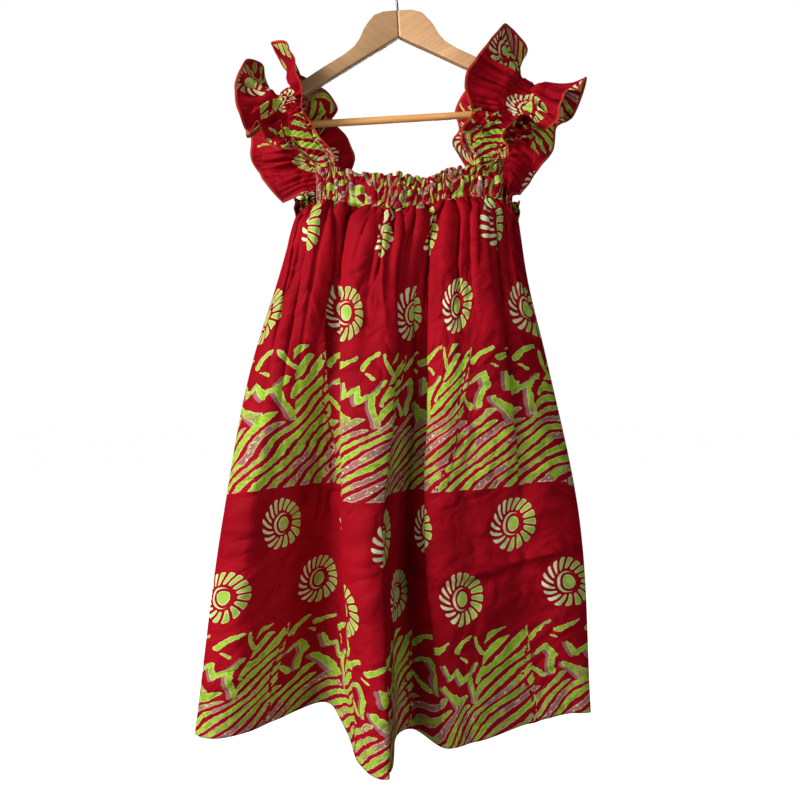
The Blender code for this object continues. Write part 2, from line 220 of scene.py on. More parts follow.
# How the straps are cut: where the front end starts down the print, where the middle lies across it,
# the cloth's length over the edges' length, and how far the strap leans from the grain
LEFT_CUT = (-0.675, 0.014, 1.12, 0.225)
RIGHT_CUT = (-0.678, -0.020, 1.05, 0.0)

# ---------------------------------------------------------------- settings


def length(name, description, default):
    return bpy.props.FloatProperty(
        name=name, description=description, default=default, unit="LENGTH", precision=4
    )


def number(name, description, default, **more):
    return bpy.props.FloatProperty(name=name, description=description, default=default, **more)


def colour(name, description, default):
    return bpy.props.FloatVectorProperty(
        name=name, description=description, default=default, subtype="COLOR", size=3, min=0.0, max=1.0
    )


class DressClothSettings(bpy.types.PropertyGroup):
    """Sizes of the cloth, its gathers and its creases."""

    wall: length("Cloth", "How thick the cotton is", 0.0007)
    seam_gap: length("Seam gap", "The gap between two pieces at a seam", 0.00035)
    seam_lip: length("Seam lip", "How far a side seam stands straight before the cloth turns", 0.0035)
    gather: length("Gathers", "How deep the gathers are under the casing", 0.0030)
    drawn: length("Drawn folds", "How deep the narrow folds running down from the casing are", 0.0105)
    gather_reach: number("Gather reach", "How far down the gathers fade, as a share of the panel", 0.035)
    soft_fold: length("Soft folds", "How deep the soft folds below the gathers are", 0.0050)
    casing_gather: length("Casing gathers", "How deep the casings' gathers are", 0.0052)
    ripple: length("Ripples", "How deep the slow ripples of the hanging cloth are", 0.0015)
    drop: length("Drop", "The length of a panel from its top edge to its hem", 0.77)
    stitch: length("Stitch", "The length of a running stitch", 0.0026)
    overlock_pitch: length("Overlock pitch", "From one overlock stitch to the next", 0.0016)
    overlock_width: length("Overlock width", "How wide the overlocked edge is", 0.0034)
    thread: length("Thread", "How thick the thread is", 0.00045)


class DressPrintSettings(bpy.types.PropertyGroup):
    """Sizes and colours of the wax print."""

    pitch: length("Flower pitch", "From one flower to the next along a row", 0.1285)
    flower_height: length("Flower height", "The height of a flower", 0.074)
    flower_width: length("Flower width", "The width of a flower", 0.0595)
    stripe_pitch: length("Stripe pitch", "From one brush stripe to the next, square to them", 0.0139)
    figure_pitch: length("Figure pitch", "From one set of figures to the next along a band", 0.165)
    band_height: length("Band height", "The height of a striped band", 0.193)
    red: colour("Red", "The ground of the print", (0.335, 0.0026, 0.0100))
    deep_red: colour("Deep red", "The darker patches of the ground", (0.255, 0.0016, 0.0075))
    green: colour("Green", "The stripes and figures", (0.335, 0.530, 0.030))
    dark_green: colour("Dark green", "The darker patches of the stripes", (0.200, 0.370, 0.016))
    flower_green: colour("Flower green", "The petals' fill", (0.310, 0.500, 0.055))
    pale: colour("Pale", "The undyed edges of the print", (0.690, 0.720, 0.430))
    mauve: colour("Mauve", "The cracked patches in the stripes", (0.320, 0.130, 0.120))
    overlock: colour("Overlock", "The thread along the ruffles' edges", (0.540, 0.040, 0.015))


class DressHangerSettings(bpy.types.PropertyGroup):
    """Sizes and colours of the hanger."""

    roll: number("Roll", "How far the hanger tilts", math.radians(3.4), subtype="ANGLE")
    drop: length("Drop", "From the inside top of the hook to the arms' line", 0.1017)
    arm_wall: length("Arm thickness", "How thick the arms are", 0.012)
    bevel: length("Arm edge", "The radius of the arms' edges", 0.0025)
    bar_radius: length("Bar radius", "The radius of the trouser bar", 0.005)
    bar_half: length("Bar reach", "Half of the bar's length", 0.2110)
    wire_radius: length("Hook wire", "The radius of the hook's wire", 0.0017)
    # Both arms have the same pale grain; the left arm's colour is painted darker as painted shade and the
    # right arm's lighter as painted light, for how the light falls on them
    shaded_wood_left: colour("Left wood", "The left arm's pale grain", (0.560, 0.320, 0.150))
    lit_wood_right: colour("Right wood", "The right arm's pale grain", (0.880, 0.500, 0.245))
    bar_wood: colour("Bar wood", "The bar's pale grain", (0.960, 0.470, 0.160))
    bar_grain: colour("Bar grain", "The bar's dark grain", (0.720, 0.320, 0.095))


class DressStageSettings(bpy.types.PropertyGroup):
    """The floor, the lights and the camera."""

    floor_height: length("Floor", "The height of the floor", -1.75)
    key: number("Key light", "Its power", 128.0, unit="POWER")
    fill: number("Fill light", "The power of the left fill light", 7.5, unit="POWER")
    sky: number("Sky", "How bright the plain background is", 1.0)
    lens: number("Lens", "The camera's focal length", 29.925, unit="CAMERA")
    distance: length("Distance", "How far the camera stands from the dress", 0.95)


def settings(kind):
    return getattr(bpy.context.scene, "dress_" + kind)


# ---------------------------------------------------------------- shader nodes


class Value:
    """A number in a shader, on which arithmetic adds Math nodes."""

    def __init__(self, shader, socket):
        self.shader = shader
        self.socket = socket

    def math(self, operation, *others, clamp=False):
        return self.shader.math(operation, self, *others, clamp=clamp)

    def __add__(self, other):
        return self.math("ADD", other)

    __radd__ = __add__

    def __sub__(self, other):
        return self.math("SUBTRACT", other)

    def __rsub__(self, other):
        return self.shader.math("SUBTRACT", other, self)

    def __mul__(self, other):
        return self.math("MULTIPLY", other)

    __rmul__ = __mul__

    def __truediv__(self, other):
        return self.math("DIVIDE", other)

    def __rtruediv__(self, other):
        return self.shader.math("DIVIDE", other, self)

    def __gt__(self, other):
        return self.math("GREATER_THAN", other)

    def __lt__(self, other):
        return self.math("LESS_THAN", other)

    def sin(self):
        return self.math("SINE")

    def cos(self):
        return self.math("COSINE")

    def abs(self):
        return self.math("ABSOLUTE")

    def fract(self):
        return self.math("FRACT")

    def floor(self):
        return self.math("FLOOR")

    def least(self, other):
        return self.math("MINIMUM", other)

    def most(self, other):
        return self.math("MAXIMUM", other)

    def angle(self, across):
        """The angle of the point (across, self)."""
        return self.math("ARCTAN2", across)

    def clamp(self):
        return self.math("ADD", 0.0, clamp=True)

    def hypot(self, other):
        return (self * self + other * other).math("SQRT")

    def wave(self, pitch):
        """A sine along the value, with its pitch."""
        return (self * (2 * math.pi / pitch)).sin()

    def rise(self, low, high, bottom=0.0, top=1.0):
        """Eases from bottom to top as the value goes from low to high."""
        inputs = {"Value": self, "From Min": low, "From Max": high, "To Min": bottom, "To Max": top}
        return self.shader.node("ShaderNodeMapRange", {"interpolation_type": "SMOOTHSTEP"}, inputs)


class Shader:
    """A material's node tree, to which each call adds a node."""

    def __init__(self, name):
        self.material = bpy.data.materials.new(name)
        self.material.use_nodes = True
        self.tree = self.material.node_tree
        self.tree.nodes.clear()
        self.surface = self.tree.nodes.new("ShaderNodeBsdfPrincipled")
        out = self.tree.nodes.new("ShaderNodeOutputMaterial")
        self.tree.links.new(self.surface.outputs[0], out.inputs[0])

    def set(self, node, inputs):
        for key, value in inputs.items():
            socket = node.inputs[key]
            if isinstance(value, Value):
                self.tree.links.new(value.socket, socket)
            elif socket.type == "RGBA":
                socket.default_value = tuple(value) + (1.0,)
            else:
                socket.default_value = value

    def finish(self, inputs):
        """Sets the surface's inputs, and gives the material."""
        self.set(self.surface, inputs)
        return self.material

    def node(self, kind, made=None, inputs=None, output=0):
        """Adds a node of a kind, with its settings and its inputs, and gives one of its outputs."""
        node = self.tree.nodes.new(kind)
        for key, value in (made or {}).items():
            setattr(node, key, value)
        self.set(node, inputs or {})
        return Value(self, node.outputs[output])

    def math(self, operation, *values, clamp=False):
        made = {"operation": operation, "use_clamp": clamp}
        return self.node("ShaderNodeMath", made, dict(enumerate(values)))

    def mix(self, share, first, second):
        """A colour that goes from first to second."""
        made = {"data_type": "RGBA", "clamp_factor": True}
        return self.node("ShaderNodeMix", made, {0: share, 6: first, 7: second}, 2)

    def noise(self, place, scale, detail=2.0, rough=0.5, distortion=0.0):
        """Soft noise about 0.5 at a place."""
        inputs = {"Vector": place, "Scale": scale, "Detail": detail}
        inputs.update({"Roughness": rough, "Distortion": distortion})
        return self.node("ShaderNodeTexNoise", {"noise_dimensions": "3D"}, inputs)

    def object_place(self):
        return self.node("ShaderNodeTexCoord", None, None, 3)

    def place(self, x, y, z=0.0):
        return self.node("ShaderNodeCombineXYZ", None, {"X": x, "Y": y, "Z": z})

    def parts(self, place):
        node = self.tree.nodes.new("ShaderNodeSeparateXYZ")
        self.tree.links.new(place.socket, node.inputs[0])
        return [Value(self, socket) for socket in node.outputs]

    def bump(self, height, distance, strength=1.0, normal=None):
        inputs = {"Height": height, "Distance": distance, "Strength": strength}
        if normal is not None:
            inputs["Normal"] = normal
        return self.node("ShaderNodeBump", None, inputs)


# ---------------------------------------------------------------- the wax print

# The print repeats down the cloth: a band, then two rows of flowers. The depths of a flower's middle
# are from the band's top, and the first row lies a step lower in each repeat.
REPEAT = 0.390
BAND_TOP = 0.557
FIRST_ROW = 0.246
SECOND_ROW = 0.341
ROW_STEP = 0.013
PETALS = 17
STRIPE_TILT = math.radians(42.0)

# How far the brush's edges wander from a true line
WANDER = 0.0052

# Threads of the weave to a metre, and loops of the overlock thread
WEAVE_PITCH = 1 / 900
LOOP_PITCH = 0.0024

# Brush strokes of a band's upper part in mm, from its top left: x and depth of each end, half width
# at each
BRUSH_STROKES = (
    (103, 96, 98, 60, 4.7, 3.9),
    (98, 60, 107, 42, 3.9, 2.5),
    (98, 60, 81, 67, 3.9, 4.5),
    (81, 67, 69, 48, 4.5, 3.5),
    (69, 48, 57, 57, 3.5, 4.1),
    (57, 57, 45, 40, 4.1, 2.3),
    (24, 86, 30, 61, 4.3, 4.7),
    (30, 61, 19, 46, 4.7, 3.9),
    (19, 46, 6, 53, 3.9, 2.7),
    (64, 92, 44, 74, 8.6, 4.7),
)
DASHES = (
    (5, 27, 29, 9, 4.7, 2.5),
    (37, 21, 64, 7, 4.3, 2.3),
    (76, 23, 101, 7, 5.1, 2.7),
    (2, 70, 12, 88, 2.1, 4.3),
    (33, 33, 28, 31, 2.3, 1.8),
    (88, 40, 79, 33, 2.5, 1.8),
    (110, 7, 118, 27, 2.5, 3.9),
    (112, 70, 118, 50, 2.5, 4.3),
)


def darker(shade, share):
    return tuple(part * share for part in shade)


def rounded(dx, dy, radius):
    """How far outside a rounded box a point is, from its distances past the box's sides."""
    return (dx + radius).most(0.0).hypot((dy + radius).most(0.0)) - radius


def stroke(x, y, row):
    """How far outside one brush stroke a point is."""
    x0, y0, x1, y1, start, end = (part * MM for part in row)
    ahead, down = x1 - x0, y1 - y0
    square = ahead * ahead + down * down
    share = ((x * (ahead / square) + y * (down / square)) - (x0 * ahead + y0 * down) / square).clamp()
    return (x - x0 - share * ahead).hypot(y - y0 - share * down) - (share * (end - start) + start)


def strokes(x, y, table):
    """How far outside the nearest of several brush strokes a point is."""
    nearest = stroke(x, y, table[0])
    for row in table[1:]:
        nearest = nearest.least(stroke(x, y, row))
    return nearest


def flowers(sizes, x, down, turn_of_print):
    """The flower rows: how far outside a flower a point is, and how far right of its middle."""
    lower = down > (FIRST_ROW + SECOND_ROW) / 2
    row = lower * (SECOND_ROW - FIRST_ROW) + (1.0 - lower) * (turn_of_print * ROW_STEP) + FIRST_ROW
    shifted = ((turn_of_print + lower) * 0.5).fract()
    along = x / sizes.pitch + 0.5 - shifted
    count = along.floor() + row * 31.0
    stretch = sizes.flower_height / sizes.flower_width
    across = (along.fract() - 0.5) * (sizes.pitch * stretch)
    up = row - down
    radius = across.hypot(up)
    angle = up.angle(across)
    left = angle.cos() * -0.5 + 0.5
    swirl = angle + (count * 2.39).sin() * 0.3 + (radius - 0.02) * (left * 20.0 + 4.0)
    turned = (swirl * (PETALS / (2 * math.pi))).fract() - 0.5
    off = turned.abs() * (2 * math.pi / PETALS) * radius
    half_width = radius * (0.96 - 0.36 * left) * (math.pi / PETALS) - 0.0014 + 0.0007 * left
    wobble = (angle * 5.0 + count).sin() * 0.0008
    petal = rounded(off - half_width, (radius - 0.0279 - wobble).abs() - 0.0089, 0.0027)
    centre = (across - 0.0022).hypot(up * 0.84) - 0.0088
    bow = ((across - 0.0002).hypot(up * 0.95) - 0.0150).most(0.0139 - (across - 0.0030).hypot(up * 0.95))
    return petal.least(centre).least(bow), across


def stripes(sizes, x, place_across, down):
    """The brush stripes of a band: how far outside a stripe a point is, the stripe's number and how far
    along it the point is."""
    bent = (x * 33.0).sin() * 0.0022 + (x * 21.0 + down * 34.0).sin() * 0.0034
    square = (x * math.sin(STRIPE_TILT) + down * math.cos(STRIPE_TILT) + bent) / sizes.stripe_pitch
    count = square.floor()
    half = sizes.stripe_pitch * (0.315 + 0.045 * (count * 1.7).sin())
    off = (square.fract() - 0.5).abs() * sizes.stripe_pitch
    top = 0.094 - place_across.rise(0.100, 0.128) * 0.088 + (count * 2.9).sin() * 0.008
    along = x * math.cos(STRIPE_TILT) - down * math.sin(STRIPE_TILT)
    return rounded(off - half, top - down, 0.003), count, along


def band(sh, sizes, x, down, hand, slow, turn_of_print, bare):
    """A band's figures: how far outside them a point is, how far outside their shadow, and how far the
    ink is cracked there."""
    slow_x, slow_z = slow
    uneven = hand - 0.5
    past = (down - sizes.band_height).most(0.001 - down)
    tile = (x + turn_of_print * 0.06) / sizes.figure_pitch
    across = (tile.fract() + uneven * WANDER / sizes.figure_pitch) * sizes.figure_pitch
    figure_x = across + slow_x * 0.5 + (down * 115.0).sin() * 0.0026
    figure_down = down + slow_z * 0.5 + (across * 88.0).sin() * 0.0030
    brushed = strokes(figure_x, figure_down, BRUSH_STROKES) + uneven * 0.0060
    dashes = strokes(figure_x, figure_down, DASHES) + uneven * 0.0060
    striped, stripe, along = stripes(sizes, figure_x, across, down + slow_z * 0.5)
    teeth = 0.0010 + uneven * 0.022 - (across - 0.159 - (down * 61.0).sin() * 0.004).abs()
    figure = brushed.least(dashes).least(striped.most(teeth)).most(past) + bare
    shadow = strokes(figure_x + 0.0042, figure_down - 0.0016, BRUSH_STROKES).most(past)
    patch = sh.noise(sh.place(along * 15.0, stripe * 5.3, x * 4.0), 1.0, 2.0, 0.6)
    return figure, shadow, patch


def band_ink(sh, sizes, flat, hand, down, figure, patch, bare):
    """The colour of a band's figures: green, mauve where the wax has cracked, and undyed specks and edges."""
    pale, mauve = tuple(sizes.pale), tuple(sizes.mauve)
    mottle = (hand * 0.35 + sh.noise(flat, 190.0, 2.0, 0.7) * 0.65).rise(0.44, 0.62)
    green = sh.mix(mottle, tuple(sizes.green), tuple(sizes.dark_green))
    cracked = ((patch + (hand - 0.5) * 0.10).rise(0.545, 0.575) * down.rise(0.075, 0.105)).clamp()
    rim = max(0.0024 - bare, 0.0006)
    along_rim = (figure + rim + (hand - 0.5) * 0.006).rise(0.0, 0.0008) * patch.rise(0.44, 0.52)
    ink = sh.mix(cracked.most(along_rim * down.rise(0.08, 0.10)), green, mauve)
    specks = (sh.noise(flat, 260.0, 1.0, 0.5).rise(0.62, 0.66) * (cracked * 0.9 + 0.12)).clamp()
    ink = sh.mix(specks, ink, pale)
    return sh.mix((figure + 0.0008).rise(-0.0004, 0.0004) * (0.30 + 0.5 * hand), ink, pale)


def wax_print(sh, sizes, bare):
    """The print's colour, its flat places, and a fine noise; bare narrows the strokes of the bands."""
    flat = sh.node("ShaderNodeUVMap", {"uv_map": "cloth"})
    x, z, _ = sh.parts(flat)
    fine = sh.noise(flat, 420.0, 2.0, 0.6)
    hand = sh.noise(flat, 110.0, 3.0, 0.6)
    hand_x = (hand - 0.5) * WANDER
    hand_z = (sh.noise(sh.place(z, x, 3.7), 110.0, 3.0, 0.6) - 0.5) * WANDER
    slow_x = (sh.noise(flat, 19.0, 1.0, 0.5) - 0.5) * 0.020
    slow_z = (sh.noise(sh.place(z, x, 1.3), 24.0, 1.0, 0.5) - 0.5) * 0.014
    fallen = (z + BAND_TOP) * (-1.0 / REPEAT)
    turn_of_print = fallen.floor()
    down = fallen.fract() * REPEAT
    wobbly = down + hand_z
    figure, shadow, patch = band(sh, sizes, x, wobbly, hand, (slow_x, slow_z), turn_of_print, bare)
    ink = band_ink(sh, sizes, flat, hand, wobbly, figure, patch, bare)
    flower, side = flowers(sizes, x + hand_x * 0.30, down + hand_z * 0.30, turn_of_print)
    fill = (side.rise(-0.026, 0.006) * 1.1 + (hand - 0.5) * 1.6 + (fine - 0.5) * 0.8 - 0.02).clamp()
    petal = sh.mix(fill, tuple(sizes.pale), tuple(sizes.flower_green))
    petal = sh.mix((flower + 0.0009).rise(-0.0004, 0.0005) * 0.8, petal, tuple(sizes.pale))

    in_band = ((wobbly > 0.001) * (wobbly < sizes.band_height)).clamp()
    ground = sh.mix(sh.noise(flat, 9.0, 3.0, 0.6).rise(0.35, 0.70), tuple(sizes.red), tuple(sizes.deep_red))
    shade = sh.mix(shadow.rise(-0.0004, 0.0004, 1.0, 0.0) * in_band, ground, tuple(sizes.mauve))
    shade = sh.mix(figure.rise(-0.0003, 0.0004, 1.0, 0.0) * in_band, shade, ink)
    shade = sh.mix(flower.rise(-0.0003, 0.0003, 1.0, 0.0) * (1.0 - in_band), shade, petal)
    return shade, flat, fine


def crumpled(sh, x, z, flat, puckers):
    """The normal of worn cotton: its weave, a fine crumple, soft creases, and the puckers at its seams."""
    weave = x.wave(WEAVE_PITCH) * z.wave(WEAVE_PITCH)
    crumple = sh.noise(flat, 60.0, 3.0, 0.55)
    wrinkled = sh.place(x * 0.8 + z * 0.5, z * 1.2 - x * 0.5, 2.0)
    wrinkled = (sh.noise(wrinkled, 15.0, 1.5, 0.5, 0.5) - 0.5).abs()
    crossed = sh.place(x * 1.2 - z * 0.5, z * 0.7 + x * 0.4, 5.0)
    crossed = (sh.noise(crossed, 30.0, 1.5, 0.5, 0.4) - 0.5).abs()
    some = sh.noise(sh.place(x, z, 9.0), 7.0, 1.0, 0.5)
    pressed = (z - x * 0.095 + 0.882).abs().rise(-0.018, 0.018, 1.0, 0.0) * x.rise(0.11, 0.15)
    normal = None
    for height, distance, strength in (
        (weave, 0.00005, 0.5),
        (crumple, 0.0016, 0.30),
        (wrinkled * some.rise(0.36, 0.58, 0.35, 1.0), 0.030, 0.80),
        (crossed * some.rise(0.44, 0.62, 1.0, 0.25), 0.014, 0.70),
        (puckers, 0.0030, 0.70),
        (pressed, 0.0160, 1.0),
    ):
        normal = sh.bump(height, distance, strength, normal)
    return normal


def cotton(name, cut=None, bare=0.0004):
    """Printed cotton: the wax print, a plain weave and a fine crumple.

    A strap, for which its cut is given, has its edges overlocked and is puckered beside its elastic
    channel; a panel is puckered under its casing.
    """
    sizes = settings("print")
    sh = Shader(name)
    shade, flat, fine = wax_print(sh, sizes, bare)
    x, z, _ = sh.parts(flat)
    if cut is None:
        puckers = sh.noise(sh.place(x, z * 0.10, 7.0), 120.0, 2.0, 0.5, 0.3) * z.rise(-0.46, -0.37)
    else:
        _, middle, _, lean = cut
        off = (x - (z - STRAP_LEVEL) * lean - middle).abs()
        near = STRAP_WIDTH / 2 - off + (fine - 0.5) * 0.0010
        # The overlock thread painted along the strap's edge, with painted shade between its loops
        loops = z.wave(LOOP_PITCH) * 0.5 + 0.5
        thread = sh.mix(loops * 0.6, tuple(sizes.overlock), darker(sizes.overlock, 0.45))
        shade = sh.mix(near.rise(0.0028, 0.0035, 1.0, 0.0), shade, thread)
        puckers = sh.noise(sh.place(x * 0.12, z, 7.0), 150.0, 2.0, 0.5, 0.4)
        puckers = puckers * off.rise(0.008, 0.040, 1.0, 0.0)
    return sh.finish({
        "Base Color": shade,
        "Roughness": 0.62 + 0.16 * fine,
        "Normal": crumpled(sh, x, z, flat, puckers),
        "Specular IOR Level": 0.05,
    })


# ---------------------------------------------------------------- curves and cloth


def spline(stations, values, t, start=None, end=None):
    """Points at every t on the smooth curve through values at rising stations."""
    p = np.asarray(values, float)
    s = np.asarray(stations, float)
    shape = (-1,) + (1,) * (p.ndim - 1)
    step = np.diff(s)
    chord = np.diff(p, axis=0) / step.reshape(shape)
    slopes = np.empty_like(p)
    before, after = step[:-1].reshape(shape), step[1:].reshape(shape)
    slopes[1:-1] = (chord[:-1] * after + chord[1:] * before) / (before + after)
    slopes[0] = chord[0] if start is None else start
    slopes[-1] = chord[-1] if end is None else end
    t = np.atleast_1d(np.asarray(t, float))
    i = np.clip(np.searchsorted(s, t, side="right") - 1, 0, len(s) - 2)
    f = ((t - s[i]) / step[i]).reshape(shape)
    width = step[i].reshape(shape)
    return (
        (2 * f**3 - 3 * f**2 + 1) * p[i]
        + (f**3 - 2 * f**2 + f) * width * slopes[i]
        + (3 * f**2 - 2 * f**3) * p[i + 1]
        + (f**3 - f**2) * width * slopes[i + 1]
    )


def column(table, *places):
    """The named places of every row of a table, as an array."""
    return np.array([[row[k] for k in places] for row in table], float)


def ease(x):
    """From 0 to 1 with level ends."""
    x = np.clip(x, 0.0, 1.0)
    return x * x * (3 - 2 * x)


def unit(vectors):
    """Vectors at a length of one."""
    return vectors / np.maximum(np.linalg.norm(vectors, axis=-1, keepdims=True), 1e-12)


def run_lengths(points):
    """How far along a line each of its points is."""
    return np.concatenate(([0.0], np.cumsum(np.linalg.norm(np.diff(points, axis=0), axis=1))))


def read_line(at, stations, points):
    """Places along a line whose points stand at stations."""
    return np.stack([np.interp(at, stations, points[:, k]) for k in range(3)], axis=1)


def level_normals(row):
    """Level normals of a row of points, to the left of its run seen from above."""
    run = unit(np.gradient(row[:, :2], axis=0))
    return np.stack((-run[:, 1], run[:, 0], np.zeros(len(run))), axis=1)


def grid_normals(grid):
    """Normals of a grid of points whose rows run down and columns to the right, seen from outside."""
    return unit(np.cross(np.gradient(grid, axis=0), np.gradient(grid, axis=1)))


def ripples(x, z, seed, waves, longest, shortest, upright):
    """A slow uneven surface about 0: plane waves from longest to shortest, upright ones the steeper."""
    rng = np.random.default_rng(seed)
    total = np.zeros(np.broadcast(x, z).shape)
    for _ in range(waves):
        size = longest * (shortest / longest) ** rng.random()
        lean = rng.normal() * (1 - upright)
        phase = rng.random() * 2 * math.pi
        along = x * math.cos(lean) + z * math.sin(lean)
        total += np.sin(2 * math.pi * along / size + phase) * (size / longest)
    return total / math.sqrt(waves / 2)


def creases(x, z, table):
    """How far a row of creases lifts the cloth at flat places x and z.

    Each crease runs from its first end to its second with a bow, and lifts or sinks by its height.
    """
    total = np.zeros(np.broadcast(x, z).shape)
    for x0, z0, x1, z1, bow, height, width in np.array(table, float) * MM:
        ahead = np.array((x1 - x0, z1 - z0))
        reach = np.linalg.norm(ahead)
        ahead /= reach
        along = ((x - x0) * ahead[0] + (z - z0) * ahead[1]) / reach
        off = (z - z0) * ahead[0] - (x - x0) * ahead[1] - bow * 4 * along * (1 - along)
        taper = ease((along + 0.10) / 0.35) * ease((1.10 - along) / 0.45)
        uneven = 1 + 0.35 * np.sin(along * 9.0 + x0 * 80)
        w = width * (0.8 + 0.4 * np.clip(along, 0, 1))
        ridge = np.exp(-((off / w) ** 2)) - 0.45 * np.exp(-(((off - 1.9 * w) / (1.5 * w)) ** 2))
        total += height * taper * uneven * ridge
    return total


def small_creases(seed, count, width, top, bottom):
    """Rows of small uneven creases strewn over a panel, most of them lying across it."""
    rng = np.random.default_rng(seed)
    rows = []
    for _ in range(count):
        x, z = rng.uniform(-width, width), rng.uniform(bottom, top)
        reach, lean = rng.uniform(25, 90), rng.normal(0.2, 0.5) + 1.1 * (rng.random() < 0.5)
        bow, height, size = rng.normal(0, 5), rng.uniform(0.9, 2.4), rng.uniform(4.0, 7.5)
        height *= rng.choice((1.0, 1.0, -1.0))
        rows.append((x, z, x + reach * math.cos(lean), z + reach * math.sin(lean), bow, height, size))
    return tuple(rows)


def make_mesh(name, points, faces, flat=None, material=None):
    """An object from points and faces, with a flat place for each point as its cloth UV map."""
    mesh = bpy.data.meshes.new(name)
    mesh.from_pydata(np.asarray(points, float).reshape(-1, 3).tolist(), [], faces)
    if flat is not None:
        layer = mesh.uv_layers.new(name="cloth")
        corners = np.empty(len(mesh.loops), int)
        mesh.loops.foreach_get("vertex_index", corners)
        layer.data.foreach_set("uv", np.asarray(flat, float).reshape(-1, 2)[corners].ravel())
    mesh.polygons.foreach_set("use_smooth", [True] * len(mesh.polygons))
    mesh.update()
    if material is not None:
        mesh.materials.append(material)
    return show(name, mesh)


def show(name, data):
    """An object in the scene from its data."""
    item = bpy.data.objects.new(name, data)
    bpy.context.scene.collection.objects.link(item)
    return item


def grid_faces(rows, columns):
    """Faces of a grid whose rows run down and columns to the right, seen from outside."""
    k = np.arange((rows - 1) * columns).reshape(rows - 1, columns)[:, :-1].ravel()
    return np.stack((k, k + columns, k + columns + 1, k + 1), axis=1).tolist()


def cloth(name, grid, flat, thickness, material):
    """A thin closed shell of cloth about a grid of points, in place of its CAD node."""
    item = make_mesh(name + "_cloth", grid, grid_faces(*grid.shape[:2]), flat, material)
    shell = item.modifiers.new("cloth", "SOLIDIFY")
    shell.thickness = thickness
    shell.offset = 0.0
    shell.use_even_offset = False
    shell.use_rim = True
    return place(item, name, "cloth")


def place(item, node, slot):
    """Sets a piece on the body in place of its CAD node."""
    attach(item, "root")
    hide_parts(node)
    return item


# ---------------------------------------------------------------- the panels

PANEL_COLUMNS = 250
PANEL_ROWS = 192

# The panels' flat widths at the top edge and at the hem, and where in the print they start and end
FRONT_WIDTHS = (0.64, 0.88)
BACK_WIDTHS = (0.60, 0.72)
PRINT_TOP = -0.362
PRINT_DROP = 0.748

# The share of a panel's width that stands straight out from a side seam
LIP_SHARE = 1 / 84

# How much closer the back's columns are at its sides, and its soft folds
BACK_SIDE = 0.40
BACK_FOLDS = 7

# Count and seed of a panel's gathers, of its soft folds and of its drawn folds, and how far the drawn
# folds lean and how narrow their valleys are
FRONT_WAVES = ((39, 5), (11, 6), (21, 15))
BACK_WAVES = ((36, 8), (10, 9), (19, 16))
FRONT_DRAWN = (0.8, 5.0)
BACK_DRAWN = (0.7, 4.0)

# Sharp folds of the front: share of the width at the top edge, at the chest and at the hip, the heights
# it runs between, how far its edge stands up, how far it laps over the valley and how far the valley
# sinks in mm, the valley's width as a share, the valley's side
FRONT_TUCKS = (
    (0.085, 0.075, 0.07, 0.00, 0.22, 3.5, 3.0, 3.0, 0.020, 1),
    (0.160, 0.222, 0.235, 0.00, 0.34, 8.0, 6.0, 4.0, 0.040, 1),
    (0.235, 0.268, 0.27, 0.00, 0.16, 5.0, 4.0, 4.0, 0.018, 1),
    (0.322, 0.342, 0.345, 0.00, 1.05, 8.0, 7.0, 11.0, 0.040, -1),
    (0.412, 0.405, 0.40, 0.00, 0.15, 4.0, 5.0, 15.0, 0.016, 1),
    (0.462, 0.458, 0.424, 0.04, 1.30, 8.0, 7.0, 8.0, 0.030, 1),
    (0.520, 0.525, 0.53, 0.00, 0.24, 4.0, 3.0, 4.0, 0.020, -1),
    (0.575, 0.585, 0.58, 0.00, 0.20, 4.0, 3.0, 4.0, 0.020, 1),
    (0.672, 0.672, 0.676, 0.00, 1.05, 9.0, 9.0, 9.0, 0.036, -1),
    (0.735, 0.745, 0.75, 0.00, 0.20, 3.5, 3.0, 3.0, 0.020, -1),
    (0.790, 0.795, 0.79, 0.00, 0.15, 3.0, 3.0, 3.0, 0.016, 1),
    (0.865, 0.835, 0.86, 0.02, 0.62, 6.5, 5.5, 6.0, 0.026, 1),
    (0.930, 0.925, 0.92, 0.00, 0.26, 3.5, 3.0, 3.0, 0.016, -1),
)
BACK_TUCKS = (
    (0.10, 0.09, 0.08, 0.00, 0.40, 4.5, 4.0, 4.0, 0.020, 1),
    (0.22, 0.21, 0.20, 0.00, 0.72, 8.0, 8.0, 7.0, 0.030, -1),
    (0.33, 0.335, 0.34, 0.00, 0.22, 4.0, 3.0, 4.0, 0.020, 1),
    (0.43, 0.42, 0.41, 0.03, 0.66, 8.0, 8.0, 7.0, 0.030, 1),
    (0.55, 0.56, 0.57, 0.00, 0.26, 4.5, 4.0, 4.0, 0.020, -1),
    (0.65, 0.66, 0.67, 0.00, 0.80, 8.0, 8.5, 7.0, 0.034, -1),
    (0.77, 0.775, 0.78, 0.02, 0.34, 5.0, 4.0, 4.0, 0.022, 1),
    (0.88, 0.89, 0.90, 0.00, 0.46, 4.5, 4.0, 4.0, 0.020, 1),
)

# How far a sharp fold's edge reaches back under it and across its face, as shares of the width
TUCK_BACK = 0.010
TUCK_FACE = 0.055

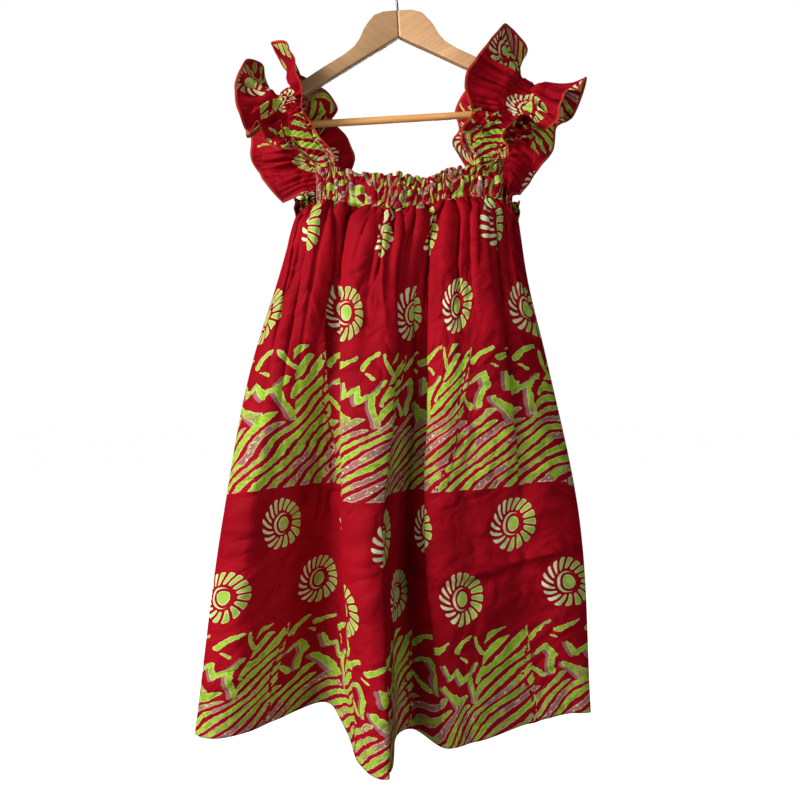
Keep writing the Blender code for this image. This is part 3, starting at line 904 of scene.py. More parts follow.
# Creases of the front in flat mm from its middle and below the hook: x z of each end, bow, height, width
FRONT_CREASES = (
    (-350, -905, -190, -830, 10, 2.2, 7),
    (-330, -975, -215, -890, -6, 1.8, 7),
    (-300, -770, -205, -850, 10, 1.8, 7),
    (-345, -805, -262, -812, 5, 1.6, 5),
    (-318, -845, -240, -872, -6, 1.5, 6),
    (-256, -505, -214, -560, 6, 1.6, 5),
    (-190, -470, -172, -560, 4, 1.5, 5),
    (-160, -430, -120, -520, -8, 1.5, 7),
    (135, -880, 360, -846, 3, 2.4, 4),
    (255, -795, 345, -772, -6, 2.2, 6),
    (235, -915, 352, -900, 6, 1.6, 6),
    (150, -950, 240, -900, -5, 1.5, 8),
    (160, -760, 250, -800, 5, 1.4, 8),
    (240, -470, 300, -560, 6, 1.8, 7),
    (60, -480, 150, -440, 5, 1.2, 8),
    (-40, -660, 20, -760, 6, 1.5, 8),
    (40, -1010, 120, -960, -6, 1.5, 8),
)
BACK_CREASES = (
    (-300, -880, -150, -810, 8, 2.2, 8),
    (-120, -640, 40, -700, -9, 1.8, 9),
    (140, -900, 300, -840, 6, 2.0, 8),
    (-60, -980, 110, -940, 7, 1.8, 8),
    (-340, -860, 340, -842, 2, 1.5, 4),
    (180, -520, 250, -600, -7, 1.8, 8),
    (-230, -460, -170, -560, 6, 1.6, 8),
    (60, -780, 150, -730, 5, 1.8, 7),
    (-280, -1000, -180, -950, -6, 1.8, 8),
)


def uneven_gathers(share, count, seed):
    """Gathers across a panel: their phase, their size, and how far each one runs down."""
    rng = np.random.default_rng(seed)
    marks = np.linspace(0, 1, 25)
    phase = 2 * math.pi * count * share + 0.3 + np.interp(share, marks, rng.normal(0, 0.75, 25))
    size = spline(np.linspace(0, 1, 31), rng.uniform(0.45, 1.35, 31), share)
    reach = spline(np.linspace(0, 1, 21), rng.uniform(0.35, 1.9, 21), share)
    ends = ease(np.minimum(share, 1 - share) * 14)
    return phase, size * ends, np.clip(reach, 0.3, 2.0)


def across_and_out(row):
    """Unit directions along a row to its right, and straight out of the dress."""
    normals = level_normals(row)
    return np.stack((normals[:, 1], -normals[:, 0], normals[:, 2]), axis=1), -normals


def broad_crests(phase, narrow=1.9):
    """Waves from -1 to 1 with broad crests and valleys the narrower the higher the given power."""
    return 1 - 2 * (0.5 - 0.5 * np.cos(phase)) ** narrow


def push_together(row, phase, depth, lean=0.85, narrow=1.9):
    """Pushes a row into gathers: broad rounded crests with narrow valleys between them."""
    along, out = across_and_out(row)
    run = np.linalg.norm(np.gradient(row[:, :2], axis=0), axis=1)
    room = 0.9 * run / np.maximum(np.abs(np.gradient(phase)), 1e-6)
    shift = np.minimum(depth * lean, room) * np.sin(phase)
    crest = broad_crests(phase, narrow) + 0.15 * np.cos(2 * phase + 0.9)
    return row + out * (depth * crest)[:, None] + along * shift[:, None]


def tuck(row, share, height, table):
    """Lays a row into its sharp folds, whose raised edges lap over the valleys beside them."""
    along, out = across_and_out(row)
    for top, chest, hip, start, end, up, lap, sink, width, way in table:
        edge = np.interp(height, (0.0, 0.27, 0.57, 1.0), (top, chest, hip, hip))
        fade = ease((height - start + 0.03) / 0.05) * ease((end - height) / (0.45 * (end - start)))
        off = (share - edge) * way
        valley = ease(1 - off / TUCK_BACK) * (off > 0)
        face = np.exp(-((off / TUCK_FACE) ** 2)) * (off <= 0)
        sunk = np.exp(-(((off - 0.8 * width) / (0.75 * width)) ** 2)) * ease(off / TUCK_BACK)
        lift = up * MM * (valley + face) - sink * MM * sunk
        slide = lap * MM * np.exp(-((off / (0.9 * TUCK_BACK)) ** 2))
        row = row + out * (lift * fade)[:, None] + along * (way * slide * fade)[:, None]
    return row


def front_lines(heights):
    """Where the front's fold lines are at heights from 0, the top edge, to 1, the hem."""
    places = ((2, 3), (5, 6), (7, 8), (9, 10), (11, 12))
    levels = spline(LEVELS, [column(FRONT_FOLDS, *pair) for pair in places], heights)
    h = np.atleast_1d(heights)[:, None]
    z = column(FRONT_FOLDS, 4)[:, 0] * (1 - h) + column(FRONT_FOLDS, 13)[:, 0] * h
    return np.concatenate((levels, z[:, :, None]), axis=2) * MM


def lay_folds(row, share, height, waves, tucks, drawn_shape):
    """Lays one row of a panel into its soft folds, its sharp ones, its drawn ones and its gathers."""
    sizes = settings("cloth")
    gathers, soft, drawn = waves
    phase, size, reach = soft
    depth = sizes.soft_fold * size * ease(height / 0.05) * np.exp(-height / (0.20 * reach))
    row = push_together(row, phase + height * 2.0, depth, 0.9)
    room = ease(np.minimum(share, 1 - share) * 20)[:, None]
    row = row * (1 - room) + tuck(row, share, height, tucks) * room
    phase, size, reach = drawn
    depth = sizes.drawn * size * ease(height / 0.02) * np.exp(-height / (0.085 * reach))
    row = push_together(row, phase + 5.0 * height * (share - 0.5), depth, *drawn_shape)
    phase, size, reach = gathers
    depth = sizes.gather * size * np.exp(-height / (sizes.gather_reach * reach))
    return push_together(row, phase + 9.0 * height * (share - 0.5), depth, 0.6)


def front_sections(heights, share, gathered=True):
    """Rows of points across the front panel, one for each height."""
    fold_shares = column(FRONT_FOLDS, 1)[:, 0]
    waves = [uneven_gathers(share, *wave) for wave in FRONT_WAVES]
    rows = []
    for height, lines in zip(heights, front_lines(heights)):
        first = np.linalg.norm(lines[1] - lines[0]) / fold_shares[1]
        final = np.linalg.norm(lines[-1] - lines[-2]) / (1 - fold_shares[-2])
        row = spline(fold_shares, lines, share, (0.0, -first, 0.0), (0.0, final, 0.0))
        if gathered:
            row = lay_folds(row, share, height, waves, FRONT_TUCKS, FRONT_DRAWN)
        rows.append(seam_lips(row, share, -settings("cloth").seam_lip))
    return np.array(rows)


def seam_lips(row, share, lip):
    """Sets a row's ends straight out from the side seams, before the cloth turns."""
    for end, out in ((0, share / LIP_SHARE), (-1, (1 - share) / LIP_SHARE)):
        straight = row[end] + np.outer(np.minimum(out, 1.0) * lip, (0, 1, 0))
        far = ease((out - 1.0) / 2.0)[:, None]
        row = np.where(out[:, None] < 3.0, straight * (1 - far) + row * far, row)
    return row


def flat_places(share, heights, widths):
    """Where each point of a panel lies in the flat cloth, from its widths at the top edge and the hem."""
    widths = widths[0] + (widths[1] - widths[0]) * heights
    heights = heights[:, None]
    x = (share[None, :] - 0.5) * widths[:, None]
    drawn = spline(np.linspace(0, 1, 47), np.random.default_rng(3).normal(0, 0.0055, 47), share)
    z = PRINT_TOP - PRINT_DROP * heights + 0.006 * ease((heights - 0.2) / 0.3)
    return np.stack((x, z + drawn * np.exp(-heights / 0.05)), axis=2)


def panel_shares(table):
    """Where a panel's columns are, from 0 to 1, closer together at its sharp folds."""
    at = np.linspace(0, 1, 4001)
    edges = column(table, 0, 1, 2)
    low, high = edges.min(axis=1)[:, None], edges.max(axis=1)[:, None]
    away = np.maximum(np.maximum(low - at, at - high), 0).min(axis=0)
    dense = np.cumsum(1 + 1.6 * np.exp(-((away / 0.011) ** 2)))
    return np.interp(np.linspace(dense[0], dense[-1], PANEL_COLUMNS + 1), dense, at)


def true_shares(grid):
    """How far along its row each point of a grid is, from 0 to 1."""
    run = np.linalg.norm(np.diff(grid, axis=1), axis=2)
    along = np.concatenate((np.zeros((len(grid), 1)), np.cumsum(run, axis=1)), axis=1)
    return along / along[:, -1:]


def settle(grid, flat, seed, table):
    """Ripples and creases laid into a panel, but not at its side seams or its top edge."""
    depth = settings("cloth").ripple
    x, z = flat[:, :, 0], flat[:, :, 1]
    share = true_shares(grid)
    height = np.linspace(0, 1, grid.shape[0])[:, None]
    room = ease(np.minimum(share, 1 - share) / 0.05) * ease(height / 0.06)
    lift = ripples(x, z, seed, 26, 0.16, 0.045, 0.72) * depth
    lift += ripples(x, z, seed + 1, 20, 0.045, 0.020, 0.2) * depth * 0.16
    lift += creases(x, z, table + small_creases(seed + 2, 150, 400, -420, -1100))
    return grid + grid_normals(grid) * (lift * room)[:, :, None]


def front_grid():
    """The front panel's points and their flat places, set between its fold lines."""
    share = panel_shares(FRONT_TUCKS)
    heights = np.linspace(0, 1, PANEL_ROWS + 1)
    grid = front_sections(heights, share)
    flat = flat_places(share, heights, FRONT_WIDTHS)
    lines = column(FRONT_FOLDS, 1)[:, 0]
    marks = np.array(FRONT_CLOTH, float).T * MM
    places = spline(CLOTH_LEVELS, marks, np.maximum(heights, CLOTH_LEVELS[0]))
    for row, along, marks in zip(flat, true_shares(grid), places):
        row[:, 0] = spline(np.interp(lines, share, along), marks, along)
    return settle(grid, flat, 11, FRONT_CREASES), flat


def back_sections(heights, share):
    """Rows of points across the back panel, from the right side seam to the left one."""
    depths = spline(column(BACK_LEVELS, 0)[:, 0], column(BACK_LEVELS, 1, 2), heights) * MM
    across = (1 - BACK_SIDE) * share + BACK_SIDE * (1 - np.cos(math.pi * share)) / 2
    arch = np.sin(math.pi * share)
    folds = np.cos(2 * math.pi * BACK_FOLDS * share) * arch
    waves = [uneven_gathers(share, *wave) for wave in BACK_WAVES]
    rows = []
    for height, line, (depth, fold) in zip(heights, front_lines(heights), depths):
        row = line[-1] + (line[0] - line[-1]) * across[:, None]
        row[:, 1] += depth * arch**0.55 + fold * folds
        row[:, 2] += 0.016 * (1 - height) * arch
        row = lay_folds(row, share, height, waves, BACK_TUCKS, BACK_DRAWN)
        rows.append(seam_lips(row, share, settings("cloth").seam_lip))
    return np.array(rows)


def back_grid():
    """The back panel's points and their flat places."""
    share = panel_shares(BACK_TUCKS)
    heights = np.linspace(0, 1, PANEL_ROWS + 1)
    grid = back_sections(heights, share)
    flat = flat_places(share, heights, BACK_WIDTHS)
    flat[:, :, 0] = (true_shares(grid) - 0.5) * (flat[:, -1:, 0] - flat[:, :1, 0]) + 0.035
    return settle(grid, flat, 23, BACK_CREASES), flat


# ---------------------------------------------------------------- the casings

CASING_ROWS = 44
CASING_COLUMNS = 540

# Where along the front panel's top edge its casing starts and ends
FRONT_CASING_SPAN = (9 / 84, 78 / 84)

# Heights of the two stitch rows on a casing, as shares
STITCH_SHARES = (0.16, 0.70)

# How a casing's gathers stand from its lower seam up, the elastic's stitch lines drawing them in:
# share of its height, size
CASING_GATHERS = (
    (0.0, 0.60),
    (0.10, 0.50),
    (0.18, 0.42),
    (0.34, 0.95),
    (0.50, 1.10),
    (0.62, 0.85),
    (0.74, 0.38),
    (0.84, 0.75),
    (1.0, 1.25),
)


def uneven(rng, at, count=61):
    """A smooth uneven value about 0 along a piece."""
    return spline(np.linspace(0, 1, count), rng.normal(0, 1.0, count), at)


def casing_grid(lower, plain, heights, gathers, seed):
    """A casing on a panel's top edge: lower is that edge, plain the same edge without its gathers."""
    sizes = settings("cloth")
    at = np.linspace(0, 1, len(plain))
    rng = np.random.default_rng(seed)
    phase = gathers[0]
    drift, second, frill, slump = (uneven(rng, at) for _ in range(4))
    swell = spline(np.linspace(0, 1, 61), rng.uniform(0.45, 1.45, 61), at)
    ends = ease(np.minimum(at, 1 - at) * 25)
    out = -level_normals(plain)
    shares = np.linspace(1, 0, CASING_ROWS)
    bulges, depths = (
        spline(column(table, 0)[:, 0], column(table, 1)[:, 0], shares)
        for table in (CASING_SECTION, CASING_GATHERS)
    )
    rows = []
    for share, bulge, depth in zip(shares, bulges * MM, depths * sizes.casing_gather):
        row = plain + out * bulge
        turn = phase + drift * math.sin(share * 3.1) * 1.5 + second * 1.8 * ease((share - 0.55) / 0.3)
        row = push_together(row, turn, depth * swell * ends, 0.9, 3.2)
        row = push_together(row, turn * 1.7 + 4.0 * share + slump * 2.0, depth * 0.25 * ends, 0.5)
        seam = 1 - ease(share / 0.07)
        row[:, :2] = row[:, :2] * (1 - seam) + lower[:, :2] * seam
        top = heights + frill * 0.0021 * ends * ease((share - 0.6) / 0.4)
        sag = slump * 0.0013 * ends * math.sin(share * math.pi)
        row[:, 2] = lower[:, 2] + sizes.seam_gap + share * top + sag
        rows.append(row)
    return np.array(rows)


def casing_places(share, table, panel_flat, seed):
    """The flat places of a casing, whose print runs on from its panel's, uneven from its gathers."""
    rng = np.random.default_rng(seed)
    lean, swing, lift = (uneven(rng, share)[None, :] for _ in range(3))
    x = np.interp(share, panel_shares(table), panel_flat[0, :, 0])[None, :]
    up = np.linspace(1, 0, CASING_ROWS)[:, None]
    x = x * 1.6 + (lean * 0.014 + swing * 0.004 * np.sin(up * 5.0)) * up
    z = panel_flat[0, 0, 1] + 0.028 * up + lift * 0.006 * np.minimum(up * 4, 1)
    return np.stack((x, z), axis=2)


def front_casing():
    """The front casing's points and their flat places."""
    share = np.linspace(*FRONT_CASING_SPAN, CASING_COLUMNS + 1)
    whole = np.linspace(0, 1, 2401)
    plain, lower = (
        read_line(share, whole, front_sections([0.0], whole, gathered)[0]) for gathered in (False, True)
    )
    table = column(CASING_HEIGHTS, 0, 1)
    heights = np.interp(share, table[:, 0], table[:, 1]) * MM
    grid = casing_grid(lower, plain, heights, uneven_gathers(share, *FRONT_WAVES[0]), 31)
    return grid, casing_places(share, FRONT_TUCKS, front_grid()[1], 51)


def back_casing():
    """The back casing's points and their flat places."""
    share = np.linspace(0, 1, CASING_COLUMNS + 1)
    lower = back_sections([0.0], share)[0]
    plain = lower.copy()
    for k in range(2):
        plain[20:-20, k] = np.convolve(lower[:, k], np.ones(41) / 41, "valid")
    heights = np.full(len(share), BACK_CASING_HEIGHT)
    grid = casing_grid(lower, plain, heights, uneven_gathers(share, *BACK_WAVES[0]), 37)
    return grid, casing_places(share, BACK_TUCKS, back_grid()[1], 53)


# ---------------------------------------------------------------- the straps

STRAP_ROWS = 420
LEAD_ROWS = 6
CHANNEL_HALF = 0.0085

# A strap's columns: a ruffle's from the channel at 0 to its edge at 1, and the channel's
RUFFLE_SHARES = np.linspace(0, 1, 19)
CHANNEL_SHARES = np.linspace(-1, 1, 9)[1:-1]

# How far a ruffle runs straight on from the channel, and how steep the arm is under it
RUFFLE_LEAD = 0.30
ARM_SLOPE = math.radians(33.5)

# Where nine marks across a strap land on its part of a casing
LANDING = (0.0, 0.08, 0.16, 0.24, 0.50, 0.76, 0.84, 0.92, 1.0)

# The phase of each ruffle's flutter, and the length of one of its waves
FLUTTER_PHASES = (0.4, 2.1)
FLUTTER_PITCH = 0.047


def landing(points, first, last):
    """Where a strap's columns land on part of a casing's top edge."""
    ruffle = RUFFLE_SHARES * 3 + 1
    marks = np.concatenate((-ruffle[::-1], CHANNEL_SHARES, ruffle))
    at = first + (last - first) * np.interp(marks, np.linspace(-4, 4, 9), LANDING)
    return read_line(at, np.linspace(0, 1, len(points)), points)


def ruffle(base, edge, way, run, pucker, flutter_phase, wide):
    """One ruffle of a strap, from its channel's side at base to its edge: a rib for each section, pleated
    at the channel and fluttering at the edge. Way points out from the channel."""
    s = RUFFLE_SHARES
    reach = np.linalg.norm(edge - base, axis=1, keepdims=True)
    lead = base + way * reach * RUFFLE_LEAD
    base, lead, end, away = (part[:, None, :] for part in (base, lead, edge, run))
    t = s[None, :, None]
    rib = base * (1 - t) ** 2 + lead * 2 * t * (1 - t) + end * t * t
    up = unit(np.cross(np.gradient(rib, axis=1), away))
    pleat = pucker[:, None] * 0.0016 * (1 + 3 * s) * np.exp(-((s / 0.26) ** 2))
    pleat = pleat + wide[:, None] * 0.0066 * ease(s / 0.35) * (1 - ease((s - 0.2) / 0.8))
    along = run_lengths(edge)
    turn = 2 * math.pi * along / FLUTTER_PITCH + flutter_phase + 1.2 * np.sin(along * 37)
    return rib, up, pleat + np.sin(turn)[:, None] * 0.0018 * s**1.4


def strap_grid(table, side, front_edge, back_edge, seed):
    """A ruffled strap over one arm of the hanger, from the front casing to the back one."""
    data = np.array(table, float) * MM
    last = len(data) - 1
    stations = np.arange(len(data))
    t = np.linspace(1.0, last - 1.0, STRAP_ROWS)
    centre, outer, inner = np.split(spline(stations, data, t), 3, axis=1)
    ahead = spline(stations, data[:, :3], np.minimum(t + 0.05, last))
    run = unit(ahead - spline(stations, data[:, :3], np.maximum(t - 0.05, 0)))
    rng = np.random.default_rng(seed)
    knots = np.linspace(0, last, 47)
    fine_size, wide_size = (np.interp(t, knots, rng.uniform(0.4, 1.4, 47)) for _ in range(2))
    wide_size = wide_size * (1 + 0.7 * np.exp(-(((t - 6.5) / 2.5) ** 2)))
    fine_turn = 2 * math.pi * t * 3.1 + spline(knots, rng.normal(0, 0.9, 47), t)
    wide_turns = [2 * math.pi * t * 1.45 + spline(knots, rng.normal(0, 1.1, 47), t) for _ in range(2)]
    tilt = ARM_SLOPE - side * settings("hanger").roll
    slope = tilt * np.minimum(1.0, 4 * np.minimum(t, last - t) / last)
    across = np.stack((side * np.cos(slope), np.zeros(len(t)), -np.sin(slope)), axis=1)
    across = unit(across - run * (run * across).sum(axis=1, keepdims=True))
    out = np.cross(run, across)
    pucker = np.sin(fine_turn) * fine_size
    middle = centre + out * (0.0016 * pucker)[:, None]
    ends = (ease((t - 1.0) / 1.5) * ease((last - 1.0 - t) / 1.5))[:, None]
    parts = []
    for edge, way, phase, wide_turn in zip((inner, outer), (-1, 1), FLUTTER_PHASES, wide_turns):
        wide = broad_crests(wide_turn, 2.6) * wide_size
        base = middle + across * way * CHANNEL_HALF
        rib, up, lift = ruffle(base, edge, across * way, run, pucker, phase, wide)
        parts.append(rib + up * (way * lift * ends)[:, :, None])
    channel = middle[:, None] + across[:, None] * (CHANNEL_SHARES * CHANNEL_HALF)[:, None]
    channel = channel + out[:, None] * (0.0009 * (1 - CHANNEL_SHARES**2) * ends)[:, :, None]
    rows = np.concatenate((parts[0][:, ::-1], channel, parts[1]), axis=1)
    lip = np.array((0, 0, settings("cloth").seam_lip))
    start = lead_in(front_edge, front_edge + lip, rows[0], rows[4])
    finish = lead_in(back_edge, back_edge + lip, rows[-1], rows[-5])[::-1]
    return np.concatenate((start, rows, finish))


def lead_in(edge, lip, first, beyond):
    """Rows from a casing's top edge to a strap's first section."""
    along, up = unit(first - beyond), unit(lip - edge)
    reach = np.linalg.norm(first - lip, axis=1, keepdims=True)
    rows = [edge, (edge + lip) / 2, lip]
    for f in np.arange(1, LEAD_ROWS) / LEAD_ROWS:
        straight = lip * (1 - f) + first * f
        bent = (lip + up * reach * f) * (1 - f) + (first + along * reach * (1 - f)) * f
        rows.append((straight + bent) / 2)
    return np.array(rows)


def strap_places(grid, cut):
    """The flat places of a strap, cut along the print or a little across it."""
    start, middle, drawn, lean = cut
    across = np.linalg.norm(np.diff(grid, axis=1), axis=2).mean(axis=0)
    x = np.concatenate(([0.0], np.cumsum(across)))
    x = (x / x[-1] - 0.5) * STRAP_WIDTH + middle
    along = (run_lengths(grid[:, 0]) + run_lengths(grid[:, -1])) / 2
    z = (start + along * drawn)[:, None]
    return np.stack(np.broadcast_arrays(x[None, :] + (z - STRAP_LEVEL) * lean, z), axis=2)


# ---------------------------------------------------------------- geometry nodes


class Maker:
    """A geometry node tree with named inputs, to which each call adds a node."""

    kinds = {float: "NodeSocketFloat", int: "NodeSocketInt", bpy.types.Material: "NodeSocketMaterial"}

    def __init__(self, name, **inputs):
        self.tree = bpy.data.node_groups.new(name, "GeometryNodeTree")
        face = self.tree.interface
        face.new_socket("Geometry", in_out="INPUT", socket_type="NodeSocketGeometry")
        for label, kind in {**inputs, "Material": bpy.types.Material}.items():
            face.new_socket(label, in_out="INPUT", socket_type=self.kinds[kind])
        face.new_socket("Geometry", in_out="OUTPUT", socket_type="NodeSocketGeometry")
        self.given = self.tree.nodes.new("NodeGroupInput")
        self.out = self.tree.nodes.new("NodeGroupOutput")

    def input(self, name):
        return self.given.outputs[name]

    def node(self, kind, made=None, inputs=None, output=0):
        """Adds a node of a kind, with its settings and its inputs, and gives one of its outputs."""
        node = self.tree.nodes.new(kind)
        for key, value in (made or {}).items():
            setattr(node, key, value)
        for key, value in (inputs or {}).items():
            if isinstance(value, bpy.types.NodeSocket):
                self.tree.links.new(value, node.inputs[key])
            else:
                node.inputs[key].default_value = value
        return node.outputs[output]

    def times(self, name, share):
        """A given number times a share."""
        return self.node("ShaderNodeMath", {"operation": "MULTIPLY"}, {0: self.input(name), 1: share})

    def vector(self, **parts):
        return self.node("ShaderNodeCombineXYZ", None, parts)

    def rod(self, path, radius, sides):
        """A round rod along a curve."""
        inputs = {"Resolution": sides, "Radius": radius}
        ring = self.node("GeometryNodeCurvePrimitiveCircle", {"mode": "RADIUS"}, inputs)
        inputs = {"Curve": path, "Profile Curve": ring, "Fill Caps": True}
        return self.node("GeometryNodeCurveToMesh", None, inputs)

    def path(self):
        """The given edges as a curve."""
        return self.node("GeometryNodeMeshToCurve", None, {"Mesh": self.input("Geometry")})

    def strew(self, piece, **more):
        """Copies of a piece along the given path at the given spacing, X along it and Z up."""
        inputs = {"Curve": self.path(), "Length": self.input("Spacing")}
        points = self.node("GeometryNodeResampleCurve", {"mode": "LENGTH"}, inputs)
        run = self.node("GeometryNodeInputTangent")
        turn = self.node("FunctionNodeAlignRotationToVector", {"axis": "X"}, {"Vector": run})
        up = self.node("GeometryNodeInputNamedAttribute", {"data_type": "FLOAT_VECTOR"}, {"Name": "up"})
        made = {"axis": "Z", "pivot_axis": "X"}
        turn = self.node("FunctionNodeAlignRotationToVector", made, {"Rotation": turn, "Vector": up})
        inputs = {"Points": points, "Instance": piece, "Rotation": turn, **more}
        return self.node("GeometryNodeInstanceOnPoints", None, inputs)

    def finish(self, geometry):
        """Ends the tree: its instances made real, with the given material."""
        real = self.node("GeometryNodeRealizeInstances", None, {"Geometry": geometry})
        inputs = {"Geometry": real, "Material": self.input("Material")}
        painted = self.node("GeometryNodeSetMaterial", None, inputs)
        self.tree.links.new(painted, self.out.inputs[0])
        return self.tree


def grow(item, tree, **values):
    """Runs a tree on an object with values for its named inputs, and keeps the result as its plain mesh."""
    made = item.modifiers.new("made", "NODES")
    made.node_group = tree
    names = {s.name: s.identifier for s in tree.interface.items_tree if s.in_out == "INPUT"}
    for name, value in values.items():
        made[names[name]] = value
    depsgraph = bpy.context.evaluated_depsgraph_get()
    mesh = bpy.data.meshes.new_from_object(item.evaluated_get(depsgraph))
    item.modifiers.remove(made)
    old = item.data
    item.data = mesh
    mesh.name = item.name
    bpy.data.meshes.remove(old)
    mesh.polygons.foreach_set("use_smooth", [True] * len(mesh.polygons))
    return item


def path_object(name, runs):
    """Edges along several runs, each of points and of the directions that stand up from them."""
    points, edges, ups = [], [], []
    for run, up in runs:
        edges += [(len(points) + k, len(points) + k + 1) for k in range(len(run) - 1)]
        points += list(run)
        ups += list(up)
    mesh = bpy.data.meshes.new(name)
    mesh.from_pydata([tuple(p) for p in points], edges, [])
    layer = mesh.attributes.new("up", "FLOAT_VECTOR", "POINT")
    layer.data.foreach_set("vector", np.array(ups, float).ravel())
    return show(name, mesh)


def running_stitch_tree():
    """Short threads lying along a path."""
    maker = Maker("running_stitch", Spacing=float, Length=float, Thread=float)
    bead = maker.node("GeometryNodeMeshIcoSphere", None, {"Radius": 0.5, "Subdivisions": 2})
    thread = maker.input("Thread")
    size = maker.vector(X=maker.input("Length"), Y=thread, Z=thread)
    return maker.finish(maker.strew(bead, Scale=size))


def overlock_tree():
    """Threads looped over a cut edge, from one face of the cloth to the other."""
    maker = Maker("overlock", Spacing=float, Width=float, Height=float, Thread=float)
    back, over, under = maker.times("Width", -1.0), maker.input("Height"), maker.times("Height", -1.0)
    slant, ahead = maker.times("Spacing", 0.8), maker.times("Height", 1.2)
    loop = maker.node("GeometryNodeCurvePrimitiveBezierSegment", {"mode": "POSITION"}, {
        "Resolution": 6,
        "Start": maker.vector(Y=back, Z=over),
        "Start Handle": maker.vector(X=slant, Y=ahead, Z=over),
        "End Handle": maker.vector(X=slant, Y=ahead, Z=under),
        "End": maker.vector(X=slant, Y=back, Z=under),
    })
    return maker.finish(maker.strew(maker.rod(loop, maker.input("Thread"), 4)))


def rod_tree():
    """A round rod along a path."""
    maker = Maker("rod", Radius=float, Sides=int)
    return maker.finish(maker.rod(maker.path(), maker.input("Radius"), maker.input("Sides")))


def thread_material(name, shade):
    """Spun thread, with painted shade between its strands."""
    sh = Shader(name)
    where = sh.object_place()
    strands = sh.noise(where, 900.0, 2.0, 0.6)
    light = (strands * 0.6 + sh.noise(where, 60.0, 1.0, 0.5) * 0.4).rise(0.40, 0.62)
    return sh.finish({
        "Base Color": sh.mix(light, darker(shade, 0.55), tuple(shade)),
        "Roughness": 0.55 + 0.2 * strands,
        "Normal": sh.bump(strands, 0.0002, 0.5),
    })


# ---------------------------------------------------------------- the hanger


def hang(point):
    """A point of the hanger, turned about the inside top of the hook."""
    turn = Matrix.Rotation(-settings("hanger").roll, 3, "Y")
    return turn @ Vector(point)


def arm_outline(x, top, bottom, side):
    """The rounded section of an arm, a distance along it."""
    sizes = settings("hanger")
    half = sizes.arm_wall / 2
    middle = -ARM_FORWARD * (x / ARM_REACH) ** 2
    bevel = min(sizes.bevel, (top - bottom) / 4)
    ring = []
    for cy, cz, start in (
        (half - bevel, bottom + bevel, -90),
        (half - bevel, top - bevel, 0),
        (bevel - half, top - bevel, 90),
        (bevel - half, bottom + bevel, 180),
    ):
        for k in range(6):
            a = math.radians(start + 18 * k)
            ring.append((middle + cy + bevel * math.cos(a), cz + bevel * math.sin(a) - sizes.drop))
    points = [hang((side * (x + JOINT_GAP / 2), y, z)) for y, z in ring]
    return points if side > 0 else points[::-1]


def loft(name, rings, material):
    """A closed solid through rings of points, each seen anticlockwise from the last ring."""
    sides = len(rings[0])
    faces = [tuple(reversed(range(sides)))]
    for r in range(len(rings) - 1):
        for k in range(sides):
            a, b = r * sides + k, r * sides + (k + 1) % sides
            faces.append((a, b, b + sides, a + sides))
    top = (len(rings) - 1) * sides
    faces.append(tuple(range(top, top + sides)))
    return make_mesh(name, np.array(rings), faces, material=material)


def hook_path():
    """Up the shank, round the bend and down to the open end."""
    sizes = settings("hanger")
    centre = sizes.wire_radius - BEND_RADIUS
    path = [(0, 0, SHANK_BOTTOM), (0, 0, SHANK_TOP)]
    path += [(x * MM, 0, z * MM) for x, z in HOOK_NECK]
    for k in range(33):
        a = HOOK_END * k / 32
        path.append((BEND_RADIUS * math.cos(a), 0, centre + BEND_RADIUS * math.sin(a)))
    points = np.array([hang(p) for p in path])
    run = run_lengths(points)
    return spline(run, points, np.linspace(0, run[-1], 90))


def wood(name, pale, dark, along):
    """Lacquered wood with its grain along X, or along a slope where along is given in degrees."""
    sh = Shader(name)
    inputs = {"Vector": sh.object_place(), "Rotation": (0.0, math.radians(along), 0.0)}
    x, y, z = sh.parts(sh.node("ShaderNodeMapping", {"vector_type": "POINT"}, inputs))
    rings = sh.noise(sh.place(x * 2.2, y * 26.0, z * 30.0), 1.0, 3.0, 0.55, 0.8)
    fibre = sh.noise(sh.place(x * 5.0, y * 70.0, z * 90.0), 3.0, 4.0, 0.65)
    pores = sh.noise(sh.place(x * 60.0, y * 900.0, z * 900.0), 1.0, 1.0, 0.5)
    share = ((rings * 4.0).sin() * 0.25 + fibre * 0.75).rise(0.25, 0.80)
    shade = sh.mix(share, tuple(pale), tuple(dark))
    shade = sh.mix(pores.rise(0.66, 0.72) * 0.25, shade, darker(dark, 0.6))
    return sh.finish({
        "Base Color": shade,
        "Roughness": 0.36 + 0.18 * fibre,
        "Normal": sh.bump(fibre + pores * 0.5, 0.0002, 0.35),
        "Coat Weight": 0.25,
        "Coat Roughness": 0.25,
    })


def steel(name):
    """Zinc-plated wire, faintly drawn and dulled."""
    sh = Shader(name)
    where = sh.object_place()
    dull = sh.noise(where, 140.0, 3.0, 0.6)
    drawn = sh.noise(where, 1500.0, 1.0, 0.5)
    return sh.finish({
        "Base Color": sh.mix(dull.rise(0.35, 0.7), (0.62, 0.62, 0.63), (0.45, 0.45, 0.46)),
        "Metallic": 1.0,
        "Roughness": 0.22 + 0.22 * dull,
        "Normal": sh.bump(drawn, 0.0001, 0.3),
    })


# ---------------------------------------------------------------- operators


# The row of a panel that its hem is stitched in, counted from the hem
HEM_ROW = -5

# Where the straps are sewn on: first and last share along the front casing, then along the back one
LEFT_SEAMS = ((8 / 69, 0.0), (0.80, 0.95))
RIGHT_SEAMS = ((59 / 69, 1.0), (0.20, 0.05))

SQUARE = ((-1, -1), (1, -1), (1, 1), (-1, 1))
FLOOR_REACH = 30.0
CAMERA_SIDE = 0.008
CAMERA_HEIGHT = -0.63
LAMPS_AIM = (0.0, 0.0, -0.60)

